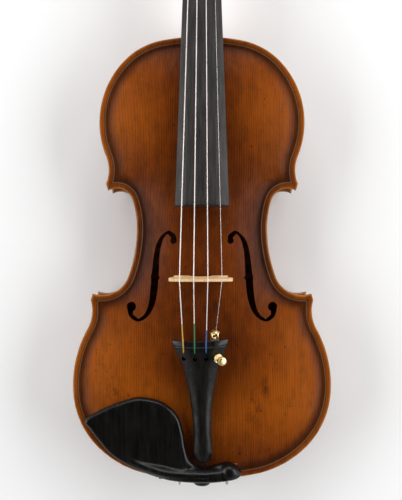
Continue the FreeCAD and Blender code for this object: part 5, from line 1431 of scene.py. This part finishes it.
pads = []
for start, end in ((-34.0, -17.6), (17.6, 28.0)):
    xs, vs = np.linspace(start, end, 14), np.linspace(4.5, 13.5, 9)
    spots = np.stack(np.meshgrid(xs, vs, indexing="ij"), axis=-1).reshape(-1, 2) + (0, TAIL_Y)
    ground = np.where(nearest(spots, OUTLINE) > 0.3, arch(spots), 50.0).reshape(14, 9)
    rings = []
    for i, x in enumerate(xs):
        low = np.column_stack([np.full(9, x), vs + TAIL_Y, ground[i]])
        rings.append(np.concatenate([low, low[::-1] * (1, 1, 0) + (0, 0, 53.0)]))
    pads.append(skin("pad", rings, 40))
rest_pads = finish_with(joined("rest_cork", pads), cork)
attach(rest_pads, "violin")
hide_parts("chinrest_corks")

CLAMP_Y = TAIL_Y - 1.75
posts, lower = [], []
for side, x in (("bass", -17.8), ("treble", 19.8)):
    stand = Matrix.Translation((x, CLAMP_Y, 0.0))
    ridge = np.arange(32.5, 41.5, 0.35)
    thread = [(1.15 - 0.12 * (k % 2), z) for k, z in enumerate(ridge)]
    posts.append(lathe("post", [(0.9, 32.4)] + thread + [(1.15, 42.0), (1.15, 44.0)], stand, 32))
    bend = [(x, CLAMP_Y, 43.5), (x, CLAMP_Y, 49.0), (x, CLAMP_Y, 53.6), (x, CLAMP_Y + 0.5, 55.6),
            (x, CLAMP_Y + 2.4, 56.5), (x, CLAMP_Y + 5.0, 56.6), (x, CLAMP_Y + 9.7, 56.6)]
    posts.append(tube("bend", smooth_curve(bend, 60), 1.15, 32))
    ridge = np.arange(19.5, 28.3, 0.35)
    thread = [(1.15 - 0.12 * (k % 2), z) for k, z in enumerate(ridge)]
    lower.append(lathe("rod", [(1.15, 8.4), (1.15, 19.2)] + thread + [(0.9, 28.5)], stand, 32))
    barrel = lathe(f"barrel_{side}", [
        (1.2, 22.0), (2.1, 22.0), (2.65, 22.4), (2.75, 22.9), (2.75, 24.6), (2.45, 25.0), (2.45, 25.4),
        (2.75, 25.8), (2.75, 35.2), (2.45, 35.6), (2.45, 36.0), (2.75, 36.4), (2.75, 38.1), (2.65, 38.6),
        (2.1, 39.0), (1.2, 39.0),
    ], stand, 48, 35)
    pin_hole = lathe("pin_hole", [(0.75, -4.0), (0.75, 4.0)],
                     Matrix.Translation((x, CLAMP_Y, 30.5)) @ Matrix.Rotation(math.radians(90), 4, "X"), 20)
    cut_from(barrel, [pin_hole])
    finish_with(barrel, chrome)
    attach(barrel, f"clamp_barrel_{side}")
    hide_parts(f"clamp_barrel_{side}")
upper_posts = finish_with(joined("threaded_posts", posts), chrome)
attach(upper_posts, "violin")
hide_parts("clamp_posts")
lower.append(rounded_block("plate", (-21.3, TAIL_Y - 4.0, 7.2), (23.3, TAIL_Y + 7.0, 9.0), 0.5))
clamp_foot = finish_with(joined("clamp_plate", lower), chrome)
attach(clamp_foot, "clamp_foot")
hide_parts("clamp_foot")
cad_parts["clamp_foot_cork"].data.materials.clear()
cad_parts["clamp_foot_cork"].data.materials.append(cork)


# ---------------------------------------------------------------- end button and tail gut
# A turned ebony button pushed into the tail block, and a loop of black cord that runs from under the
# tailpiece, over the saddle and round the button's neck. A plated nut holds each end of the cord.

rim = 14.3
button = lathe("tail_button", [
    (3.4, 0.0), (3.65, 0.4), (4.0, rim), (6.5, rim), (7.0, rim + 0.4), (7.0, rim + 0.9), (6.4, rim + 1.5),
    (4.7, rim + 2.0), (4.6, rim + 2.4), (4.6, rim + 4.3), (4.8, rim + 4.7), (6.4, rim + 5.2),
    (6.9, rim + 6.2), (7.2, rim + 7.8), (7.2, rim + 8.6), (6.9, rim + 10.2), (6.2, rim + 11.5),
    (5.2, rim + 12.1), (4.6, rim + 12.2), (4.3, rim + 12.0), (3.9, rim + 12.3), (1.6, rim + 12.6),
], Matrix.Translation((0.0, TAIL_Y + 17.0, MIRROR_Z)) @ Matrix.Rotation(math.radians(90), 4, "X"), 64, 40)
finish_with(button, polished_ebony)
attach(button, "violin")
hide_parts("end_button")

start = [carried((3.0, y, -1.7), TAIL) - (0.8, 0, 0) for y in (12.0, 7.0)]
gut_half = start + [np.array(place) for place in (
    (4.2, TAIL_Y + 4.0, 55.8), (4.6, TAIL_Y + 1.0, 55.4), (5.1, TAIL_Y - 1.2, 51.2),
    (5.6, TAIL_Y - 1.3, 45.0), (5.8, TAIL_Y - 0.9, 37.5))]
turn = np.radians([0, 30, 60, 90])
gut_half += [np.array([5.7 * math.cos(t), TAIL_Y - 0.6, MIRROR_Z - 5.7 * math.sin(t)]) for t in turn]
gut_line = gut_half + [place * (-1, 1, 1) for place in gut_half[-2::-1]]
cord_loop = tube("tail_cord", smooth_curve(gut_line, 240), 0.9, 16)
cord_black, tree, shader = new_material("cord_black", 0.35)
twist = noise(tree, in_millimetres(tree), 1.5, 3.0)
tree.links.new(mix_colour(tree, twist, (0.010, 0.010, 0.011, 1), (0.030, 0.029, 0.028, 1)),
               shader.inputs["Base Color"])
tree.links.new(remap(tree, twist, 0.3, 0.7, 0.28, 0.5), shader.inputs["Roughness"])
finish_with(cord_loop, cord_black)
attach(cord_loop, "violin")
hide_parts("tail_gut")
for plain in ("tail_gut_nuts", "string_ball_ends", "tuner_pivot_pin"):
    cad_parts[plain].data.materials.clear()
    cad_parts[plain].data.materials.append(gold)


# ---------------------------------------------------------------- fine tuner
# A gold plated adjuster for the E string: a body under the tailpiece held by a ring nut, a screw with a
# knurled knob that leans outwards, and a rocking lever whose fork hooks the string's ball.


def ridged(radius, low, high, count, depth_of_ridge, matrix, name):
    """A short knurled band: its radius swells and falls count times a turn."""
    around = count * 4
    turn = np.linspace(0, math.tau, around, endpoint=False)
    wave = radius - depth_of_ridge * (0.5 - 0.5 * np.cos(count * turn))
    rings = []
    for z, less in ((low, 0.35), (low + 0.25, 0.0), (high - 0.25, 0.0), (high, 0.35)):
        rings.append(np.column_stack([(wave - less) * np.cos(turn), (wave - less) * np.sin(turn),
                                      np.full(around, z)]))
    return skin(name, carried(np.array(rings), matrix), 25)


knob_base = TUNER @ Matrix.Translation((0.0, 0.0, 7.2))
knob = joined("tuner_knob_gold", [
    lathe("knob_core",
          [(1.46, 0.0), (2.2, 0.0), (2.5, 0.3), (2.6, 0.9), (2.9, 3.4), (3.15, 3.7), (3.15, 4.1), (2.8, 4.45),
                        (1.8, 4.58), (0.3, 4.6)], knob_base, 56),
    ridged(3.4, 0.9, 3.6, 30, 0.22, knob_base, "knurl"),
])
shank_profile = [(0.5, -8.8), (1.2, -8.3)]
for step, z in enumerate(np.arange(-8.0, 7.0, 0.3)):
    shank_profile.append((1.4 - 0.14 * (step % 2), z))
shank = lathe("tuner_shank_gold", shank_profile + [(1.4, 7.0), (1.4, 9.2)], TUNER, 32, 30)
ring_nut = joined("tuner_ring_gold", [
    ridged(3.7, 0.85, 2.35, 24, 0.25, TUNER, "ring"),
    lathe("collar", [(2.0, 0.3), (2.8, 0.3), (2.9, 2.3), (2.6, 2.6), (2.0, 2.6)], TUNER, 40),
])
BODY_PARTS = (((-3.0, 0.0, -7.4), (3.0, 15.2, -5.8)), ((-3.0, 13.6, -8.1), (-1.8, 19.4, -4.7)),
              ((1.8, 13.6, -8.1), (3.0, 19.4, -4.7)))
body_parts = [rounded_block("bar", low, high, 0.3, TUNER) for low, high in BODY_PARTS]
body_parts.append(lathe("tube", [(1.46, -7.4), (2.6, -7.4), (2.6, 2.5), (1.46, 2.5)], TUNER, 40))
tuner_body = joined("tuner_body_gold", body_parts)
LEVER_PARTS = (((-1.5, -1.8, -10.4), (1.5, 18.2, -9.1)), ((-1.5, 16.2, -10.4), (1.5, 19.4, -7.0)),
               ((-1.5, 17.9, -7.9), (1.5, 21.0, -6.4)), ((-1.5, 19.6, -7.4), (1.5, 21.4, -0.2)),
               ((-4.0, 19.8, -0.95), (1.4, 21.4, 0.05)))
lever_parts = [rounded_block("arm", low, high, 0.3, TUNER) for low, high in LEVER_PARTS]
for x in (-3.5, 0.9):
    horn = [(x, 20.8, -0.4), (x, 21.0, 0.8), (x, 20.8, 2.0), (x, 20.3, 3.0)]
    lever_parts.append(tube("horn", carried(smooth_curve(horn, 12), TUNER), np.linspace(0.62, 0.34, 12), 14))
sideways = TUNER @ Matrix.Translation((-1.5, 17.6, -6.4)) @ Matrix.Rotation(math.radians(90), 4, "Y")
lever_parts.append(lathe("knuckle", [(0.75, 0.0), (1.7, 0.0), (1.7, 3.0), (0.75, 3.0)], sideways, 32))
lever = joined("tuner_lever_gold", lever_parts)
for made, name, body in ((knob, "tuner_knob", "tuner_knob"), (shank, "tuner_screw", "tuner_shank"),
                         (ring_nut, "tuner_ring_nut", "violin"), (tuner_body, "tuner_body", "violin"),
                         (lever, "tuner_lever", "tuner_lever")):
    finish_with(made, gold)
    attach(made, body)
    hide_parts(name)
turn = np.linspace(0, math.pi, 18)[1:-1]
e_ball = finish_with(lathe("e_string_ball", np.column_stack([1.35 * np.sin(turn), -1.35 * np.cos(turn)]),
                           TUNER @ Matrix.Translation((-1.5, 20.2, 1.6)), 28), gold)
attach(e_ball, "tuner_lever")
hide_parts("string_e_ball")


# ---------------------------------------------------------------- head
# The old maple head: a hollow pegbox with open top, and the scroll's three turns standing out to the eye
# on both sides. It is glued to the neck at the nut, and its rims and turns are rubbed pale by tuning hands.

BACK_CURVE = ((-2, -11.6), (0, -12.2), (6, -16.6), (13, -21), (22, -23.6), (34, -23.2), (48, -20.4),
              (58, -18.2), (65, -18.4), (72, -21.5))
CAVITY_SIDE = ((4.5, 3.0), (63.0, 3.0), (63.0, -12.5), (58.5, -14.2), (48.0, -16.0), (34.0, -18.4),
               (22.0, -18.8), (12.0, -15.5), (6.0, -12.6), (4.5, -10.0))
PEGBOX_LENGTH = 68.0
PEG_RADIUS, PEG_TAPER, PEG_FIT = 3.6, 0.0167, 0.035
SCROLL_S, SCROLL_T = 84.0, -1.9


def peg_frame(s, sign):
    """A peg's frame: Z along it towards its head, from the middle of the pegbox."""
    return HEAD @ Matrix.Translation((0.0, s, PEG_AXIS_T)) @ Matrix.Rotation(math.radians(90 * sign), 4, "Y")


def pegbox_half(s):
    """Half the pegbox's width, 12.75 mm at the nut and 3.5 mm less at its far end."""
    return 12.75 - 3.5 * s / PEGBOX_LENGTH


def pegbox_rings():
    """The pegbox: rings with a flat top, and a back of height low + sin^2, which makes two flutes."""
    columns = 25
    s = np.linspace(-2.0, 72.0, 120)
    back = smooth_curve(BACK_CURVE, 600)
    low = np.interp(s, back[:, 0], back[:, 1])
    half = np.where(s < PEGBOX_LENGTH, pegbox_half(s), 9.25 - 2.75 * (s - PEGBOX_LENGTH) / 18.0)
    across = np.linspace(-1, 1, columns)
    along = np.repeat(s[:, None], columns, axis=1)
    flute = 1.0 * np.sin(math.pi * across) ** 2
    lower = np.stack([half[:, None] * across, along, low[:, None] + flute], axis=2)
    upper = np.stack([half[:, None] * across[::-1], along, np.zeros_like(along)], axis=2)
    return np.concatenate([lower, upper], axis=1)


def scroll_radius(angle):
    """The spiral's radius, which shrinks to 0.55 of itself in each turn."""
    return 22.0 * 0.55 ** ((angle + 90.0) / 360.0)


def scroll_rings():
    """The volute as one ribbon wound inwards: each ring spans two turns' radii and both hollowed sides."""
    angle = np.linspace(-120.0, 810.0, 320)
    turns = (angle + 120.0) / 360.0
    half = 5.25 + 4.2 * np.clip(1 - turns / 0.55, 0, None) + 15.25 * np.clip((turns - 0.55) / 2, 0, None)
    outer = scroll_radius(angle)
    inner = np.maximum(scroll_radius(angle + 360.0) - 1.2, 0.4)
    share = np.array([0.0, 0.2, 0.4, 0.6, 0.8, 0.92, 1.0])
    sink = 1.5 * np.sin(math.pi * share) ** 0.8 * np.array([1, 1, 1, 1, 0.9, 0.45, 0.0])
    sink[-1] = 0.5
    width = half[:, None] - sink[None, :] * np.clip(turns * 1.6, 0.15, 1)[:, None]
    reach = inner[:, None] + (outer - inner)[:, None] * share[None, :]
    reach[:, -1] -= 0.05
    rim = np.linspace(0.94, -0.94, 15)
    flute = 0.9 * np.sin(math.pi * rim[None, :]) ** 2 * np.clip(2.2 - turns, 0, 1)[:, None]
    rim_reach = outer[:, None] - flute
    x = np.concatenate([width, half[:, None] * rim[None, :], -width[:, ::-1]], axis=1)
    r = np.concatenate([reach, rim_reach, reach[:, ::-1]], axis=1)
    turn = np.radians(angle)[:, None]
    return np.stack([x, SCROLL_S + r * np.cos(turn), SCROLL_T + r * np.sin(turn)], axis=2)


def fused(made, voxel, passes):
    """Overlapping skins made one by a fine voxel remesh, then smoothed a little."""
    step = made.modifiers.new("fuse", "REMESH")
    step.mode, step.voxel_size, step.adaptivity = "VOXEL", voxel * MM, 0.0
    bpy.context.view_layer.update()
    graph = bpy.context.evaluated_depsgraph_get()
    mesh = bpy.data.meshes.new_from_object(made.evaluated_get(graph))
    made.modifiers.clear()
    made.data = mesh
    shape = bmesh.new()
    shape.from_mesh(mesh)
    for _ in range(passes):
        bmesh.ops.smooth_vert(shape, verts=shape.verts, factor=0.5, use_axis_x=True, use_axis_y=True,
                              use_axis_z=True)
    shape.to_mesh(mesh)
    shape.free()
    return made


def store_wear(made):
    """Keeps how far each point stands proud of its smoothed surroundings: high on rims, low in valleys."""
    mesh = made.data
    count = len(mesh.vertices)
    places, normals = np.empty(count * 3), np.empty(count * 3)
    mesh.vertices.foreach_get("co", places)
    mesh.vertex_normals.foreach_get("vector", normals)
    places, normals = places.reshape(-1, 3) / MM, normals.reshape(-1, 3)
    edges = np.empty(len(mesh.edges) * 2, np.int64)
    mesh.edges.foreach_get("vertices", edges)
    start, end = edges.reshape(-1, 2).T
    degree = np.maximum(np.bincount(start, minlength=count) + np.bincount(end, minlength=count), 1)[:, None]
    smooth = places.copy()
    for _ in range(14):
        total = np.zeros_like(smooth)
        np.add.at(total, start, smooth[end])
        np.add.at(total, end, smooth[start])
        smooth = 0.5 * smooth + 0.5 * total / degree
    proud = ((places - smooth) * normals).sum(axis=1)
    layer = mesh.attributes.new("wear_mm", "FLOAT", "POINT")
    layer.data.foreach_set("value", np.clip(proud, -1, 1).astype(np.float32))
    return made


turn = np.linspace(0, math.pi / 2, 8)
eye_profile = [(4.2 - 1.0 * (1 - math.sin(t)), 19.7 + 1.0 * (1 - math.cos(t))) for t in turn[::-1]]
eye_profile = [(r, -z) for r, z in eye_profile[::-1]] + eye_profile
eye_frame = Matrix.Translation((0.0, SCROLL_S, SCROLL_T)) @ Matrix.Rotation(math.radians(90), 4, "Y")
head = joined("scroll_head", [
    skin("pegbox", carried(pegbox_rings(), HEAD)),
    skin("volute", carried(scroll_rings(), HEAD)),
    lathe("eye", eye_profile, HEAD @ eye_frame, 40),
])
store_wear(fused(head, 0.5, 3))
hollow = []
for s, t in CAVITY_SIDE:
    cheek = 5.2 - 1.2 * s / PEGBOX_LENGTH
    half = pegbox_half(s) - cheek
    hollow.append(((-half, s, t), (half, s, t)))
hollow_line = np.array(hollow)
cutters = [skin("cavity", carried(np.stack([hollow_line[:, 0], hollow_line[:, 1]]), HEAD))]
neck_side = NECK @ Matrix.Translation((0, 5.5 - 30.0, 0))
cutters.append(rounded_block("neck_side", (-20, -30, -40), (20, 30, 30), 0.01, neck_side))
for s, sign in PEG_PLACES.values():
    bore = [(PEG_RADIUS + PEG_FIT + PEG_TAPER * z, z) for z in (-18.0, 18.0)]
    cutters.append(lathe("bore", bore, peg_frame(s, sign), 64))
cut_from(head, cutters)
head.data.set_sharp_from_angle(angle=math.radians(40))
head_varnish, tree, shader = new_material("head_varnish", 0.34, 0.4, 0.16)
place = in_millimetres(tree)
curl = group_node(tree, curl_tree, {"Vector": place, "Spacing": 6.0})
grain = group_node(tree, grain_tree, {"Vector": place, "Spacing": 2.0})
age = group_node(tree, age_tree, {"Vector": place, "Patch size": 22.0})
wear = node(tree, "ShaderNodeAttribute", attribute_name="wear_mm").outputs["Fac"]
colour = mix_colour(tree, remap(tree, curl.outputs["Stripes"], 0.1, 0.9), RED_BROWN, (0.24, 0.078, 0.010, 1))
shade = math_node(tree, "MULTIPLY", remap(tree, age.outputs["Blotches"], 0.25, 0.75, 1.2, 0.75),
                  remap(tree, grain.outputs["Fibres"], 0.3, 0.7, 0.92, 1.08))
scaled = shaded(tree, colour, shade)
# Darker in the hollows, where the surface lies below its smoothed surroundings.
darkening = remap(tree, wear, -0.03, -0.16)
colour = mix_colour(tree, math_node(tree, "MULTIPLY", darkening, 0.8), scaled, CHANNEL_DIRT)
rubbed = remap(tree, math_node(tree, "MULTIPLY_ADD", age.outputs["Blotches"], 0.14, wear), 0.14, 0.32, 0.0,
               0.75)
tree.links.new(mix_colour(tree, rubbed, colour, BARE_EDGE), shader.inputs["Base Color"])
tree.links.new(remap(tree, age.outputs["Blotches"], 0.3, 0.7, 0.26, 0.44), shader.inputs["Roughness"])
add_bump(tree, shader, age.outputs["Blotches"], 0.12, 0.0002)
finish_with(head, head_varnish)
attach(head, "violin")
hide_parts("head")


# ---------------------------------------------------------------- pegs
# Four tapered ebony pegs, two from each side, that turn in the cheeks of the pegbox with plain friction.
# Each has a turned collar and a flat oval head, hollowed on both faces for the finger and thumb.


def thumb_rings(base):
    """The oval head: rings (a cos t, b sin t) drawn fuller, thinner in the middle of each face."""
    line = smooth_curve([(-0.8, 3.0), (1.4, 7.6), (4.4, 10.6), (7.8, 11.3), (11.0, 10.0), (13.4, 6.6),
                         (14.8, 2.2), (15.0, 0.6)], 60)
    turn = np.linspace(0, math.tau, 64, endpoint=False)
    x = np.sign(np.cos(turn)) * np.abs(np.cos(turn)) ** 0.85
    y = np.sign(np.sin(turn)) * np.abs(np.sin(turn)) ** 0.75
    rings = []
    for height, half in line:
        middle = math.exp(-(((height - 7.6) / 4.6) ** 2))
        thick = 3.4 * min(1.0, 0.35 + half / 9.0) * (1 - 0.30 * middle * (1 - x**2))
        rings.append(np.column_stack([half * x, thick * y, np.full(64, base + height)]))
    return np.array(rings)


for name, (s, sign) in PEG_PLACES.items():
    place = peg_frame(s, sign)
    far, near = pegbox_half(s) + 1.2, pegbox_half(s) + 2.6
    shaft = [(3.0 - PEG_TAPER * far, -far), (PEG_RADIUS - PEG_TAPER * (far - 0.5), -far + 0.5),
             (PEG_RADIUS + PEG_TAPER * near, near)]
    turned = [(4.5, near), (4.9, near + 0.4), (4.9, near + 0.9), (4.3, near + 1.2), (4.3, near + 1.4),
              (4.8, near + 1.7), (4.8, near + 2.1), (4.2, near + 2.5), (3.2, near + 2.9), (2.8, near + 3.8),
              (2.9, near + 5.0), (3.1, near + 6.0), (3.0, near + 7.2)]
    thumb_base = near + 6.0
    end = thumb_base + 14.6
    pip = [(1.3, end), (1.5, end + 0.5), (1.3, end + 1.1), (0.7, end + 1.5), (0.2, end + 1.6)]
    peg = joined(f"ebony_peg_{name}", [
        lathe("shaft", shaft + turned, place, 64, 35),
        skin("thumb", carried(thumb_rings(thumb_base), place), 50),
        lathe("pip", pip, place, 24, 50),
    ])
    finish_with(peg, polished_ebony)
    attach(peg, f"peg_{name}")
    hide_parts(f"peg_{name}")


# ---------------------------------------------------------------- wood inside the body
# Blocks, linings and bass bar are bare spruce, glued to ribs and plates; the sound post stands by friction
# between them. All are unvarnished and have browned with age.


def bare_wood(name, pale, brown, spacing):
    """Unvarnished wood: straight grain, a dull surface, and darker blotches from age."""
    material, tree, shader = new_material(name, 0.7)
    place = in_millimetres(tree)
    grain = group_node(tree, grain_tree, {"Vector": place, "Spacing": spacing})
    age = group_node(tree, age_tree, {"Vector": place, "Patch size": 30.0})
    colour = mix_colour(tree, age.outputs["Blotches"], pale, brown)
    shade = remap(tree, grain.outputs["Lines"], 0.0, 0.7, 1.05, 0.75)
    tree.links.new(shaded(tree, colour, shade),
                   shader.inputs["Base Color"])
    add_bump(tree, shader, grain.outputs["Fibres"], 0.3, 0.0001)
    return material


bare_spruce = bare_wood("bare_spruce", (0.56, 0.36, 0.17, 1), (0.36, 0.20, 0.08, 1), 1.3)
for name in ("neck_block", "end_block", "corner_blocks_upper", "corner_blocks_lower", "linings_top",
             "linings_back", "bass_bar", "sound_post"):
    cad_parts[name].data.materials.clear()
    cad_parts[name].data.materials.append(bare_spruce)
